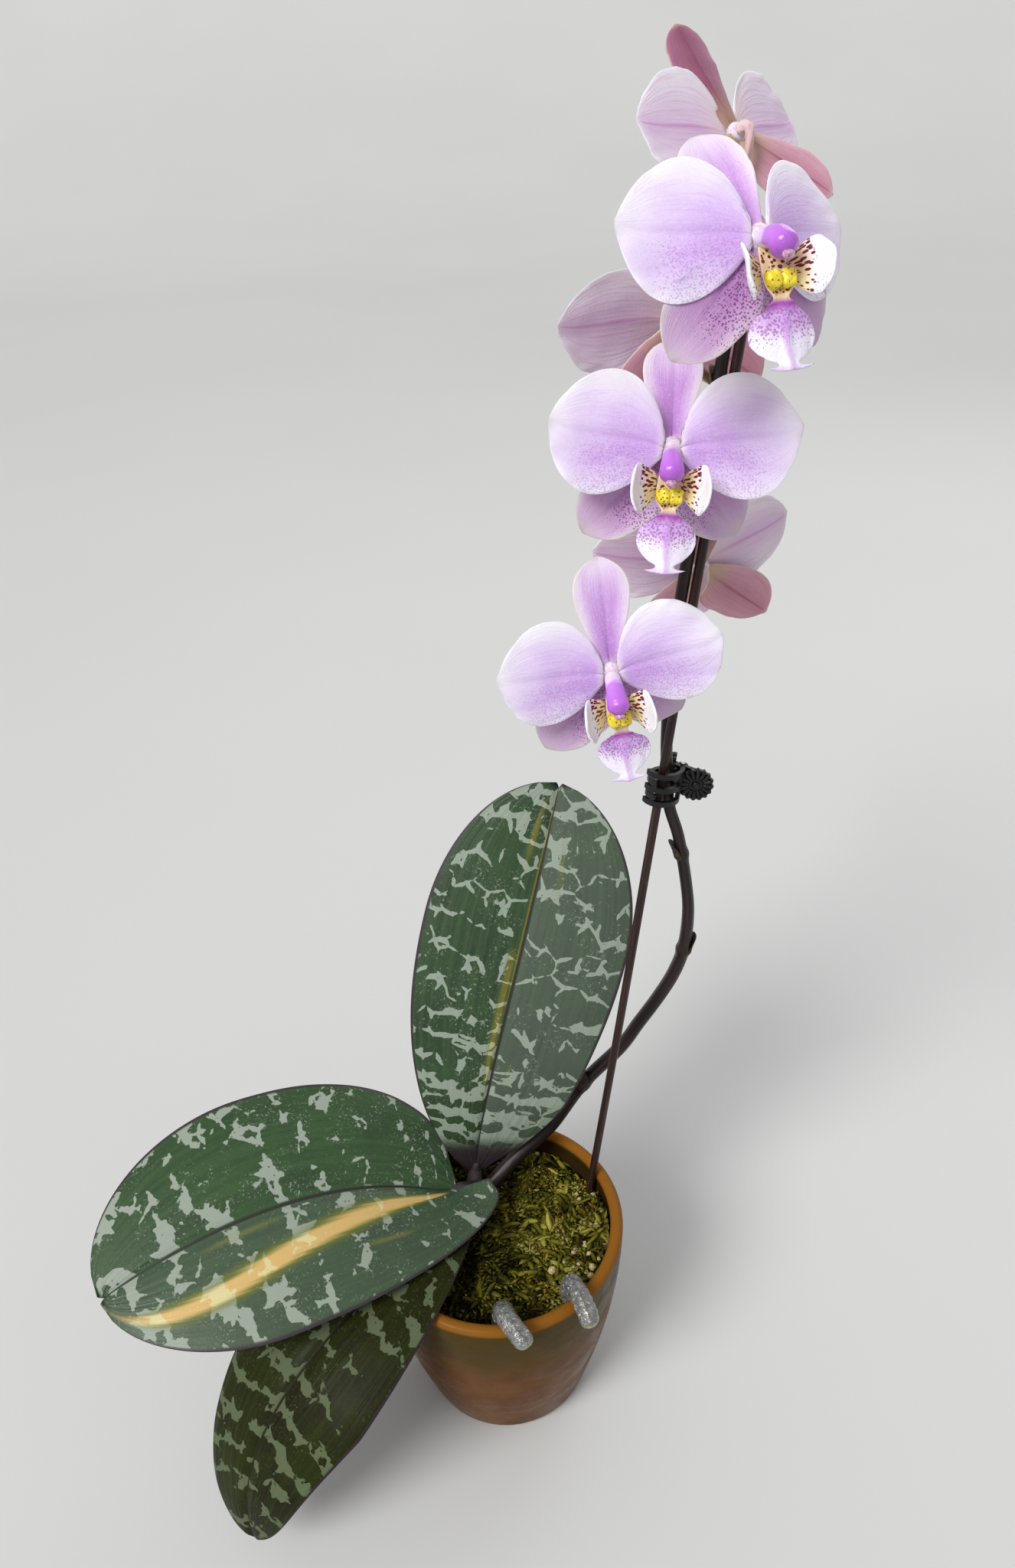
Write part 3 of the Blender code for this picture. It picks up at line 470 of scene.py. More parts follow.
def addFloor():
    # flat floor that bends up far behind: a quarter circle between two flats
    reach, bend = studio["reach"], studio["bend"]
    arc = np.linspace(0, math.pi / 2, 24)
    ys = np.concatenate([[-reach], reach + bend * np.sin(arc), [reach + bend]])
    zs = np.concatenate([[0.0], bend * (1 - np.cos(arc)), [bend + studio["wall"]]])
    xs = np.array([-studio["halfWidth"], studio["halfWidth"]])
    points = np.stack([np.tile(xs, len(ys)), np.repeat(ys, 2), np.repeat(zs, 2)], 1)
    mesh = bpy.data.meshes.new("paleFloor")
    mesh.from_pydata(points.tolist(), [], gridFaces(len(ys), 2)[:, ::-1].tolist())
    mesh.shade_smooth()
    material = newPaint("pale floor", 0.7)
    tone = noise(objectPlace(material, (mm, mm, mm)), 1.3, 3)
    base = mixed(step(tone, 0.3, 0.7), studio["floorColour"], lighter(studio["floorColour"], 0.97))
    mesh.materials.append(finished(material, base))
    addObject("paleFloor", mesh)


addCamera()
addLights()
addFloor()
print("camera, floor and light set")

pot = {"height": 92.0, "rim": 50.0, "base": 34.0, "bulge": 1.75, "lip": 5.0, "wall": 4.5,
       "floor": 7.0, "footRound": 2.0, "innerHeights": (9.5, 30.0, 50.0, 70.0, 86.5), "sides": 160,
       "lipColour": (0.225, 0.088, 0.011), "bodyColour": (0.130, 0.045, 0.003),
       "deepColour": (0.090, 0.029, 0.002), "oliveColour": (0.054, 0.036, 0.004),
       "innerShadeColour": (0.030, 0.016, 0.005), "pitColour": (0.05, 0.02, 0.006),
       "footColour": (0.32, 0.15, 0.07)}


def potOuter(z):
    # radius of the outside: base + (rim - base) (1 - (1 - z/height)^bulge)
    share = np.clip(np.asarray(z, float) / pot["height"], 0, 1)
    return pot["base"] + (pot["rim"] - pot["base"]) * (1 - (1 - share) ** pot["bulge"])


def potInner(z):
    heights = np.array(pot["innerHeights"])
    return np.interp(z, heights, potOuter(heights) - pot["wall"])


def glazePaint(lipEnd):
    # lipEnd is how far along the profile the lip ends and the inside begins; heights are in mm
    material = newPaint("amber glaze", 0.3, Specular_IOR_Level=0.05)
    along, at = bladePlace(material)[0], objectPlace(material)
    high = axisOf(at, 2)
    drips = noise(objectPlace(material, (0.09, 0.09, 0.02)), 1.0, 4, 0.6)
    band = step(drips * 16.0 + (high - 8.0), 48, 80) * step(high, 91.5, 89.0)
    # painted shade: the inside of the pot is painted far darker than the glaze outside
    inside = step(along, lipEnd - 0.004, lipEnd + 0.006) * step(high, 90.5, 87.0)
    pits = step(cells(at, 0.55), 0.16, 0.08) * step(noise(at, 0.12, 2), 0.52, 0.62)
    bare = step(high, 1.6, 0.6)  # unglazed foot
    cloud = step(noise(at, 0.05, 3, 0.6), 0.35, 0.7)
    base = layered(mixed(cloud, pot["bodyColour"], pot["deepColour"]),
                   (band * 0.9, pot["oliveColour"]), (step(high, 88.6, 90.6), pot["lipColour"]),
                   (inside, pot["innerShadeColour"]), (pits * 0.6, pot["pitColour"]),
                   (bare, pot["footColour"]))
    waves = noise(at, 0.08, 2) + noise(at, 0.9, 3) * 0.12
    rough = mixed(bare, step(noise(at, 0.09, 3, 0.6), 0.3, 0.7, 0.2, 0.38), 0.8)
    return finished(material, base, waves, 0.5, rough=rough)


def makePot():
    # one closed profile for the lathe: foot, outside, half round lip, inside and floor
    lip, footRound, low = pot["lip"] / 2, pot["footRound"], pot["innerHeights"][0]
    rise = np.linspace(footRound * 1.6, pot["height"] - lip * 1.4, 34)
    turns = np.radians(np.linspace(0, 180, 17))
    arc = np.stack([pot["rim"] - lip + lip * np.cos(turns),
                    pot["height"] - lip + lip * np.sin(turns)], 1)
    fall = np.linspace(pot["innerHeights"][-1], low, 24)
    foot = [(0.9, 0.0), (20.0, 0.0), (pot["base"] - footRound, 0.0), (pot["base"] - 1.0, 0.25),
            (pot["base"] - 0.3, footRound * 0.45)]
    floor = [(potInner(low) - 1.0, pot["floor"] + 0.6), (potInner(low) - 2.5, pot["floor"]),
             (0.9, pot["floor"])]
    profile = np.vstack([foot, np.stack([potOuter(rise), rise], 1), arc,
                         np.stack([potInner(fall), fall], 1), floor])

    def throwing(z, turn):  # faint rings left by the wheel, and a slightly uneven round
        rings = 0.05 * np.sin(z * 0.9) * np.sin(turn + z * 0.11) + 0.08 * np.sin(2 * turn + 0.7)
        return np.clip(z / 20, 0, 1) * (rings - 0.14)

    run = runAlong(profile)
    lipEnd = run[len(foot) + len(rise) + len(arc) - 1] / run[-1]
    makePiece("glazedPot", [lathePart(profile, pot["sides"], wobble=throwing)],
              [glazePaint(lipEnd)], "plant", "glaze", ("pot",))


makePot()
print("pot made")

# potting mix, moss and pumice
moss = {"top": 78.0, "mixTop": 70.3, "crown": 5.0, "crownSpread": 18.0, "lump": 1.5,
        "stem": (-10.0, 11.0), "rimRise": 5.0, "bedRings": 44, "bedSides": 120,
        "fronds": 4400, "frondLength": (4.5, 10.5), "frondWidth": (0.65, 1.6), "frondRings": 5,
        "clumps": 260, "clumpSpread": 2.3,
        "sprigs": 1500, "sprigLength": (6.5, 12.0), "sprigRadius": 0.26, "sprigRings": 3,
        "leaflets": 5, "leafletLength": 4.2, "leafletHalf": 0.21,
        "pumice": 60, "pumiceSize": (0.8, 1.7), "brown": (1.0, 0.66, 0.5),
        "tones": ((0.0, (0.007, 0.007, 0.001)), (0.28, (0.032, 0.030, 0.004)),
                  (0.52, (0.11, 0.10, 0.010)), (0.76, (0.24, 0.225, 0.028)),
                  (1.0, (0.42, 0.37, 0.09))),
        "mixTones": ((0.1, (0.02, 0.012, 0.007)), (0.5, (0.09, 0.05, 0.025)),
                     (0.9, (0.2, 0.12, 0.06))),
        "pumiceTones": ((0.3, (0.20, 0.13, 0.05)), (0.5, (0.52, 0.40, 0.19)),
                        (0.7, (0.72, 0.60, 0.36)))}
mossEdge = potInner(moss["top"])


def mossHeight(x, y):
    # low waves, with a rise round the stem and another at the right-hand rim
    away = (x - moss["stem"][0]) ** 2 + (y - moss["stem"][1]) ** 2
    waves = np.sin(0.33 * x + 1.1) * np.cos(0.29 * y) + 0.8 * np.sin(0.61 * x - 0.43 * y + 0.5)
    crown = moss["crown"] * np.exp(-away / moss["crownSpread"] ** 2)
    rim = moss["rimRise"] * np.clip((x - 0.4 * y - 12) / 30, 0, 1) ** 2
    return moss["top"] + crown + moss["lump"] * waves + rim


def mixPaint():
    material = newPaint("bark mix", 0.9)
    at = objectPlace(material)
    chips = addNode("SeparateColor", {0: cells(at, 0.22, output="Color")})
    grain = noise(objectPlace(material, (0.4, 0.4, 2.5)), 1.0, 4, 0.6)
    return finished(material, ramp(chips * 0.6 + grain * 0.5, moss["mixTones"]),
                    cells(at, 0.22) + grain, 1.2)


def mossPaint(name, lift):
    # tone of each strand, lighter and darker in patches and fine grain, and painted shade on the
    # left under the leaves
    material = newPaint(name, 0.75, Specular_IOR_Level=0.05)
    at = objectPlace(material)
    strand = addNode("Attribute", {}, "Fac", material, attribute_name="tone")
    fine = noise(at, 1.6, 3, 0.6)
    tone = strand * 0.8 + (noise(at, 0.07, 3, 0.6) * 1.1 + (lift - 0.3)) + (fine - 0.5) * 0.3
    # painted shade: the moss is darker towards the left, where the leaves hang over it
    tone = tone + step(axisOf(at, 0), -12.0, 26.0, -0.38, 0.03)
    brown = step(noise(at, 0.11, 2, 0.6), 0.52, 0.66, 0.0, 0.6)  # dead, brown clumps
    base = mixed(brown, ramp(tone, moss["tones"]), moss["brown"], "MULTIPLY")
    return finished(material, base, fine, 0.25)


def pumicePaint():
    material = newPaint("pumice grains", 0.9)
    at = objectPlace(material)
    base = ramp(noise(at, 0.8, 4, 0.7), moss["pumiceTones"])
    return finished(material, base, cells(at, 2.2), 0.35)


def mossBed():
    # dished bed: rings of points at the moss height, roughened, closed below at the mix
    turns = turnsOf(moss["bedSides"])
    reach = np.linspace(0.02, 1, moss["bedRings"])[:, None] * (mossEdge - 0.5)
    x, y = reach * np.cos(turns), reach * np.sin(turns)
    z = mossHeight(x, y) - 1.6 + 2.2 * ripple(x, y, 11, 14, 7) + 0.5 * ripple(x, y, 12, 4, 4)
    low = potInner(moss["mixTop"]) - 0.5
    foot = np.stack([low * np.cos(turns), low * np.sin(turns), 0 * turns + moss["mixTop"]], -1)
    rings = np.concatenate([np.stack([x, y, z], -1), foot[None]])
    poles = [(0, 0, z[0].mean()), (0, 0, moss["mixTop"])]
    return ringPart(rings, poles, np.linspace(0, 1, len(rings)))


def strandLine(root, way, length, rise, sag, curl):
    # a strand of moss, s from 0 to 1 along it:
    # p = root + length (s ahead + (rise s - sag s^2) up + curl s^2 sideways)
    ahead = np.stack([np.cos(way), np.sin(way), 0 * way], -1)[:, None]
    side = np.stack([-np.sin(way), np.cos(way), 0 * way], -1)[:, None]
    length, rise, sag, curl = (row[:, None, None] for row in (length, rise, sag, curl))

    def line(s):
        lift = rise * s - sag * s * s
        return root[:, None] + length * (s * ahead + lift * up + curl * s * s * side)

    return line, ahead, side


def keptInside(points, limit, whole=False):
    # strands that would pass the pot's wall are drawn in, point by point or as a whole
    far = np.hypot(points[..., 0], points[..., 1])
    far = far.max(1, keepdims=True) if whole else np.maximum(far, 1e-6)
    points[..., :2] *= np.minimum(1, limit / far)[..., None]
    return points


def repeated(points, quads, tris, tone):
    # one part from many strands that have the same faces
    count, each = points.shape[:2]
    start = (np.arange(count) * each)[:, None, None]
    return partOf(points, (quads[None] + start).reshape(-1, 4), (tris[None] + start).reshape(-1, 3),
                  tone=tone.ravel())


def mossFronds():
    # each frond is a pointed blade with a diamond section and a half width of w sin(pi s)^0.7
    dice = np.random.default_rng(23)
    count, rings = moss["fronds"], moss["frondRings"]
    clump = dice.uniform(-1, 1, (moss["clumps"], 2))
    clump = clump[np.hypot(*clump.T) < 1] * (mossEdge - 1)
    home = dice.integers(0, len(clump), count)
    way = dice.uniform(0, 2 * math.pi, len(clump))[home] + dice.normal(0, 0.75, count)
    foot = keptInside(clump[home] + dice.normal(0, moss["clumpSpread"], (count, 2)), mossEdge - 1.2)
    length = dice.uniform(*moss["frondLength"], count)
    width = dice.uniform(*moss["frondWidth"], count)[:, None, None]
    rise, sag = dice.uniform(0.25, 0.95, count), dice.uniform(0.35, 0.9, count)
    curl = dice.normal(0, 0.28, count)
    tone = dice.uniform(0.05, 0.75, len(clump))[home] + dice.normal(0, 0.16, count)
    height = mossHeight(*foot.T) - 1.0 + dice.normal(0, 0.7, count)
    line, _, side = strandLine(np.column_stack([foot, height]), way, length, rise, sag, curl)
    s = np.linspace(0, 1, rings + 2)[None, 1:-1, None]
    middle, half = line(s), width * np.sin(math.pi * (0.06 + 0.9 * s)) ** 0.7
    ring = np.stack([middle + half * side, middle + half * 0.5 * up,
                     middle - half * side, middle - half * 0.3 * up], 2)
    points = np.concatenate([ring.reshape(count, -1, 3), line(np.array([[[0.0], [1.0]]]))], 1)
    along = np.concatenate([np.repeat(np.linspace(0.1, 0.9, rings), 4), [0, 1]])
    return repeated(keptInside(points, mossEdge - 0.4), *ringFaces(rings, 4, True),
                    np.clip(tone, 0, 1)[:, None] * 0.75 + 0.3 * along[None])


def mossSprigs():
    # feathery sprigs: a three-sided stem along a strand, and pairs of leaflets, each a four-sided
    # spindle from root to tip, pointing ahead and outward and shorter towards the end
    dice = np.random.default_rng(29)
    count, pairs, rings = moss["sprigs"], moss["leaflets"], moss["sprigRings"]
    reach = (mossEdge - 3) * np.sqrt(dice.uniform(0, 1, count))
    turn, way = dice.uniform(0, 2 * math.pi, count), dice.uniform(0, 2 * math.pi, count)
    x, y = reach * np.cos(turn), reach * np.sin(turn)
    length = dice.uniform(*moss["sprigLength"], count)
    rise, sag = dice.uniform(0.3, 0.8, count), dice.uniform(0.3, 0.7, count)
    root = np.stack([x, y, mossHeight(x, y) - 0.4], -1)
    line, ahead, side = strandLine(root, way, length, rise, sag, dice.normal(0, 0.3, count))
    s = np.linspace(0, 1, rings)[None, :, None]
    thin = moss["sprigRadius"] * (1 - 0.6 * s)
    stalk = np.stack([line(s) + thin * side, line(s) - thin * side, line(s) + 1.4 * thin * up], 2)
    s = np.linspace(0.08, 0.97, pairs)[None, :, None]
    foot = line(s) + 0.1 * up
    parts = [stalk.reshape(count, -1, 3)]
    for hand in (-1, 1):
        size = moss["leafletLength"] * np.sin(math.pi * (0.22 + 0.7 * s))
        size = size * dice.uniform(0.75, 1.2, (count, pairs, 1))
        tilt = dice.uniform(-0.1, 0.4, (count, pairs, 1)) * up
        point = unit(0.7 * ahead + hand * (0.72 - 0.2 * s) * side + tilt)
        wide = unit(np.cross(point, up + 0 * point))
        out, over = moss["leafletHalf"] * size * wide, 0.04 * size * np.cross(wide, point)
        middle = foot + 0.45 * size * point + over
        leaflet = np.stack([foot, foot + size * point, middle + out, middle - out], 2)
        parts.append(leaflet.reshape(count, -1, 3))
    points = keptInside(np.concatenate(parts, 1), mossEdge - 0.4, True)
    last = 3 * (rings - 1)
    spindle = np.array([(0, 1, 2), (0, 3, 1), (0, 2, 3), (1, 3, 2)])
    tips = spindle[None] + (3 * rings + 4 * np.arange(2 * pairs))[:, None, None]
    tris = np.concatenate([[(0, 1, 2), (last, last + 2, last + 1)], tips.reshape(-1, 3)])
    tone = dice.uniform(0.1, 0.9, count)[:, None] + dice.normal(0, 0.08, (count, points.shape[1]))
    return repeated(points, gridFaces(rings, 3, True), tris, np.clip(tone, 0, 1))


def pumiceGrains():
    # rough small balls scattered on the moss, more of them beside the rim at the right
    dice = np.random.default_rng(31)
    parts = []
    for k in range(moss["pumice"]):
        turn = dice.uniform(-0.85, 0.45) if k % 4 else dice.uniform(0, 2 * math.pi)
        reach = (mossEdge - 2.0) * (1 - 0.36 * dice.uniform() ** 1.6)
        x, y = reach * math.cos(turn), reach * math.sin(turn)
        size = dice.uniform(*moss["pumiceSize"])
        size = size * np.array((1, dice.uniform(0.75, 1.1), dice.uniform(0.7, 0.95)))
        parts.append(ballPart((x, y, mossHeight(x, y) + 2.1), size, 0, 6, 8, 100 + k, 0.5))
    return parts


# painted shade: the bed between the fronds is painted far darker than they are, for the shaded gaps
makePiece("mossBed", [mossBed()], [mossPaint("moss bed", -0.45)], "plant", "moss", ("moss",))
makePiece("mossFronds", [mossFronds()], [mossPaint("moss fronds", -0.03)], "plant", "moss")
makePiece("mossSprigs", [mossSprigs()], [mossPaint("moss sprigs", 0.0)], "plant", "moss")
makePiece("pumiceGrains", pumiceGrains(), [pumicePaint()], "plant", "moss")
paintNode("potting_mix", mixPaint())
print("moss and pumice laid")

# the paler, duller green below is painted sheen, laid over one half of a blade
leafShape = {"thick": 2.0, "rows": 110, "columns": 45, "groove": 1.1, "grooveWidth": 1.5,
             "wave": 1.0, "baseShare": 0.09, "paintedSheenColour": (0.105, 0.128, 0.105),
             "haloColour": (0.15, 0.165, 0.018), "silverStreak": (0.68, 0.60, 0.30),
             "edgeColour": (0.034, 0.020, 0.028), "ribColour": (0.020, 0.014, 0.014)}
leaves = {
    "tallLeaf": {
        "node": "leaf_tall", "seed": 3,
        "path": ((-8.5, 23.0, 93.0), (-3.5, 14.0, 146.0), (12.0, 38.0, 175.0),
                 (32.5, 66.0, 251.0)),
        "upBase": (0.14, -0.95, 0.29), "upTip": (-0.21, -0.94, 0.26), "half": 40.0,
        "widest": 0.72, "tipPower": 2.3, "foldBase": 3.0, "foldTip": 8.5, "droop": 0.11,
        "lobeNear": 0.0, "lobeFar": 0.0, "notch": 2.2, "farSwell": 5.0,
        # the silver bands: leaf length, spacing, lean of each half, and half width from base to tip
        "length": 172.0, "spacing": 11.5, "lean": (5.5, -1.5), "baseTint": 0.19, "shine": 0.3,
        "bandHalf": ((0.0, 1.6), (0.16, 1.3), (0.32, 0.6), (0.42, -1.7), (0.70, -1.7),
                     (0.86, -1.3), (1.0, -1.1)),
        "green": (0.028, 0.058, 0.022), "deep": (0.018, 0.038, 0.016),
        # the pair after silver: how much painted sheen lies on the near half and on the far half of
        # the blade
        "silver": (0.25, 0.30, 0.24), "paintedSheen": (0.0, 0.42), "crumbs": 0.9, "patchy": 7.0,
        "lace": 4.2, "streakTint": (0.24, 0.17, 0.025),
        # each streak: place across at the base and how far it moves out by the tip, half width,
        # from, to, strength
        "streaks": ((0.462, -0.01, 0.026, 0.26, 0.70, 0.62), (0.484, 0.0, 0.009, 0.5, 1.0, 0.8),
                    (0.46, -0.06, 0.026, 0.84, 0.98, 0.6), (0.60, 0.02, 0.016, 0.78, 0.93, 0.35),
                    (0.585, 0.0, 0.016, 0.3, 0.42, 0.35)),
    },
    "leftLeaf": {
        "node": "leaf_left", "seed": 8,
        "path": ((-16.0, 9.0, 99.5), (-24.5, 4.0, 99.5), (-62.5, 5.5, 134.0),
                 (-141.5, -41.0, 114.0)),
        "upBase": (0.0, -0.19, 0.98), "upTip": (-0.18, -0.5, 0.85), "half": 46.5,
        "widest": 0.72, "tipPower": 2.4, "foldBase": 19.0, "foldTip": 6.0, "droop": 0.14,
        "lobeNear": 20.5, "lobeFar": 2.0, "notch": 1.9, "farSwell": 0.0,
        "length": 140.0, "spacing": 14.0, "lean": (-8.0, 14.0), "baseTint": 0.05, "shine": 0.35,
        "bandHalf": ((0.0, -0.9), (0.2, -1.7), (0.35, -2.2), (0.5, -1.7), (0.62, -0.8),
                     (0.74, 0.1), (1.0, 0.7)),
        "green": (0.028, 0.064, 0.020), "deep": (0.019, 0.046, 0.016),
        "silver": (0.275, 0.32, 0.26), "paintedSheen": (0.26, 0.0), "crumbs": 1.0, "patchy": 11.0,
        "lace": 2.4, "streakTint": (0.66, 0.43, 0.16),
        "streaks": ((0.425, -0.27, 0.066, 0.10, 0.99, 1.15), (0.22, 0.03, 0.018, 0.3, 0.52, 0.3),
                    (0.47, -0.05, 0.018, 0.66, 0.86, 0.28)),
    },
    "lowLeaf": {
        "node": "leaf_low", "seed": 14,
        "path": ((-12.0, 4.0, 88.0), (-39.0, -34.5, 114.0), (-105.5, -73.0, 82.5),
                 (-97.0, -80.0, 16.0)),
        "upBase": (-0.08, -0.21, 0.98), "upTip": (-0.44, -0.56, 0.7), "half": 32.0,
        "widest": 0.555, "tipPower": 1.2, "foldBase": 12.0, "foldTip": 2.0, "droop": 0.24,
        "lobeNear": 0.0, "lobeFar": 3.9, "notch": -3.7, "farSwell": 0.0,
        "length": 150.0, "spacing": 12.0, "lean": (4.0, 4.0), "baseTint": 0.1, "shine": 0.06,
        "bandHalf": ((0.0, -0.8), (0.4, -0.2), (1.0, 0.3)),
        # painted shade: the low leaf's greens and silver are painted far darker than the other
        # leaves', for the shade it lies in
        "green": (0.016, 0.021, 0.003), "deep": (0.011, 0.010, 0.004),
        "silver": (0.092, 0.115, 0.060), "paintedSheen": (0.0, 0.0), "crumbs": 0.6, "patchy": 9.5,
        "lace": 2.0, "streakTint": (0.3, 0.2, 0.05), "streaks": (),
    },
}


def leafGrid(leaf):
    # midrib on a Bezier curve; the half width swells as 1 - x^2 and closes as sqrt(1 - x^power);
    # the halves fold up and droop, and the midrib is pressed in as a narrow groove
    rows = np.linspace(0.0, 1.0, leafShape["rows"])
    t = 0.5 * rows + 0.25 * (1 - np.cos(math.pi * rows))
    v = acrossColumns(leafShape["columns"])
    v = np.sign(v) * np.abs(v) ** 1.25
    along = bezier(leaf["path"], t)[:, None]
    ahead = unit(bezier(leaf["path"], t + 1e-3) - bezier(leaf["path"], t - 1e-3))[:, None]
    u, edge, widest, share = t[:, None], np.abs(v), leaf["widest"], leafShape["baseShare"]
    face = (unit(leaf["upBase"]) * (1 - u) + unit(leaf["upTip"]) * u)[:, None]
    face = unit(face - (face * ahead).sum(-1, keepdims=True) * ahead)
    across = np.cross(ahead, face)
    rise = np.clip((widest - u) / widest, 0, 1)
    fall = np.clip((u - widest) / (1 - widest), 0, 1)
    swell = np.where(u < widest, share + (1 - share) * (1 - rise ** 2),
                     closing(fall, leaf["tipPower"]))
    half = np.maximum(leaf["half"] * swell, 0.03 * leaf["half"])
    # the far half is fuller near the base, in mm
    fuller = leaf["farSwell"] * np.exp(-((u - 0.2) / 0.2) ** 2) * np.clip(u * 12, 0, 1)
    fold = np.radians(leaf["foldBase"] + (leaf["foldTip"] - leaf["foldBase"]) * u)
    out = v * (half + fuller * (v > 0))
    groove = np.exp(-(out / leafShape["grooveWidth"]) ** 2) * np.clip(6 * u, 0, 1)
    wave = leafShape["wave"] * edge ** 2 * ripple(u * 160, out, leaf["seed"], 70)
    lift = np.abs(out) * np.sin(fold) - leaf["droop"] * out ** 2 / leaf["half"]
    lift = lift - leafShape["groove"] * groove + wave
    lobe = np.where(v > 0, leaf["lobeFar"], leaf["lobeNear"])
    rounded = 1 - 0.34 * np.exp(-(u / 0.03) ** 2) * edge ** 4
    back = lobe * edge ** 1.5 * rounded * (1 - u) ** 4
    tip = leaf["notch"] * edge ** 0.7 * np.clip((u - 0.8) / 0.2, 0, 1) ** 2
    grid = (along + (out * np.cos(fold))[..., None] * across + lift[..., None] * face
            + (tip - back)[..., None] * ahead)
    return grid, u, v[None]


def acrossColumns(count):
    return np.sin(np.linspace(-1.0, 1.0, count) * math.pi / 2)


def leafPaint(name, leaf):
    material = newPaint(name, 0.42, Specular_IOR_Level=leaf["shine"])
    t, v = bladePlace(material)
    spread, at, baseTint = spreadOf(v), objectPlace(material), leaf["baseTint"]
    # jagged cross bands: how far a point lies from the nearest band along the leaf, in mm, with the
    # bands bent by slow noise, scalloped by rounded cells and broken up by patches
    slow, quick = noise(at, 1 / 32, 1), noise(at, 1 / 10, 2)
    patch, ragged = noise(at, 1 / 13, 2, 0.6), noise(at, 1 / 1.7, 3, 0.65)
    along = t * leaf["length"] - spread * step(v, 0.49, 0.51, *leaf["lean"])
    along = along + slow * 22.0 + quick * 11.0
    off = sums("PINGPONG", along, leaf["spacing"] / 2)
    bandHalf = ramp(t, [(spot, (half / 10 + 0.5,) * 3) for spot, half in leaf["bandHalf"]])
    reach = bandHalf * 10.0 - 5.0 + (patch - 0.5) * leaf["patchy"]
    # lace along the borders of rounded cells
    bent = mixed(1.0, at, place(quick * 6.0, slow * 6.0), "ADD")
    lace = step(cells(bent, 1 / 8, feature="DISTANCE_TO_EDGE"), 0.17, 0.0, 0.0, leaf["lace"])
    reach = reach + lace + (cells(at, 1 / 5.5) * 5.0 - 2.1) + (ragged - 0.5) * 3.4
    dots = step(cells(at, 1 / 2.6), 0.2, 0.12) * step(quick, 0.46, 0.54)
    silver = step(reach - off, -0.15, 0.3) * (1.0 - dots * 0.7)
    crumbs = noise(at, 1.1, 3, 0.7)
    scatter = step(crumbs, 0.58, 0.66) * step(patch, 0.44, 0.56, 0.05, leaf["crumbs"])
    # the silver keeps off the midrib, the rim and the base
    silver = (larger(silver, scatter * 0.75) * step(spread, 0.015, 0.04)
              * step(spread, 0.985, 0.955) * step(t, baseTint - 0.1, baseTint - 0.02))
    # greens, fine lines along the blade, and painted sheen: one half of the blade tinted paler and
    # duller
    cloud = noise(at, 0.05, 3, 0.6)
    lines = noise(place(t * 2.0, v * 40.0, leaf["seed"]), 1.0, 3, 0.6)
    green = layered(mixed(step(cloud, 0.3, 0.7), leaf["green"], leaf["deep"]),
                    (step(lines, 0.4, 0.7, 0.0, 0.5), lighter(leaf["green"], 1.6)),
                    (step(ragged, 0.5, 0.75, 0.0, 0.35), lighter(leaf["green"], 1.9)),
                    (step(v, 0.48, 0.52, *leaf["paintedSheen"]), leafShape["paintedSheenColour"]))
    base = mixed(silver, green, leaf["silver"])
    tint = mixed(silver, leaf["streakTint"], leafShape["silverStreak"])
    for foot, shift, width, start, stop, power in leaf["streaks"]:
        off = sums("ABSOLUTE", v - (t ** 2.2 * shift + foot)) + (lines - 0.5) * (width * 0.9)
        off = off / step(t, start, start + 0.45 * (stop - start), 0.12, 1.0)
        there = step(t, start, start + 0.1) * step(t, stop + 0.02, stop - 0.05)
        halo = step(off, width * 1.25, width * 0.45) * there
        core = step(off, width * 0.75, width * 0.25) * there
        base = layered(base, (halo * (0.75 * power), leafShape["haloColour"]),
                       (core * (0.95 * power - 0.2), tint))
    ends = step(t + ragged * 0.06, baseTint, baseTint - 0.09)
    base = layered(base, (larger(ends, step(spread, 0.955, 0.985)) * 0.9, leafShape["edgeColour"]),
                   (step(spread, 0.03, 0.008) * 0.85, leafShape["ribColour"]))
    plait = noise(place(t * 1.5, v * 17.0), 1.0, 2)
    rough = mixed(silver, step(cloud, 0.3, 0.7, 0.36, 0.46), 0.52)
    return finished(material, base, lines * 0.5 + crumbs * 0.22 + plait * 2.2, 0.45, 0.7, rough)


underside = {"purple": (0.050, 0.012, 0.020), "red": (0.115, 0.034, 0.045),
             "tan": (0.12, 0.085, 0.06), "vein": (0.03, 0.010, 0.014), "rib": (0.10, 0.06, 0.04)}


def leafBackPaint():
    material = newPaint("leaf underside", 0.5)
    t, v = bladePlace(material)
    cloud = noise(place(t * 14.0, v * 7.0), 1.0, 4, 0.65)
    lines = noise(place(t * 3.0, v * 90.0), 1.0, 2)
    base = layered(mixed(step(cloud, 0.35, 0.65), underside["purple"], underside["red"]),
                   (step(cloud, 0.6, 0.75, 0.0, 0.5), underside["tan"]),
                   (step(lines, 0.4, 0.8, 0.0, 0.4), underside["vein"]),
                   (step(spreadOf(v), 0.06, 0.01), underside["rib"]))
    return finished(material, base, lines + cloud, 0.3)


def makeLeaves():
    # thinner towards the margin, which is rounded, and closed at the tip
    under = leafBackPaint()
    for name, leaf in leaves.items():
        grid, u, v = leafGrid(leaf)
        half = leafShape["thick"] / 2 * (1 - 0.3 * v ** 2) * closing(v, 9)
        half = half * np.clip(12 * (1 - u), 0, 1) ** 0.5
        part = sheetPart(grid[:, ::-1], half[:, ::-1], u, ((v + 1) / 2)[:, ::-1], 0, 1)
        makePiece(name, [part], [leafPaint(name + " mottled", leaf), under], "plant", "leaf",
                  (leaf["node"],))


makeLeaves()
print("leaves made")

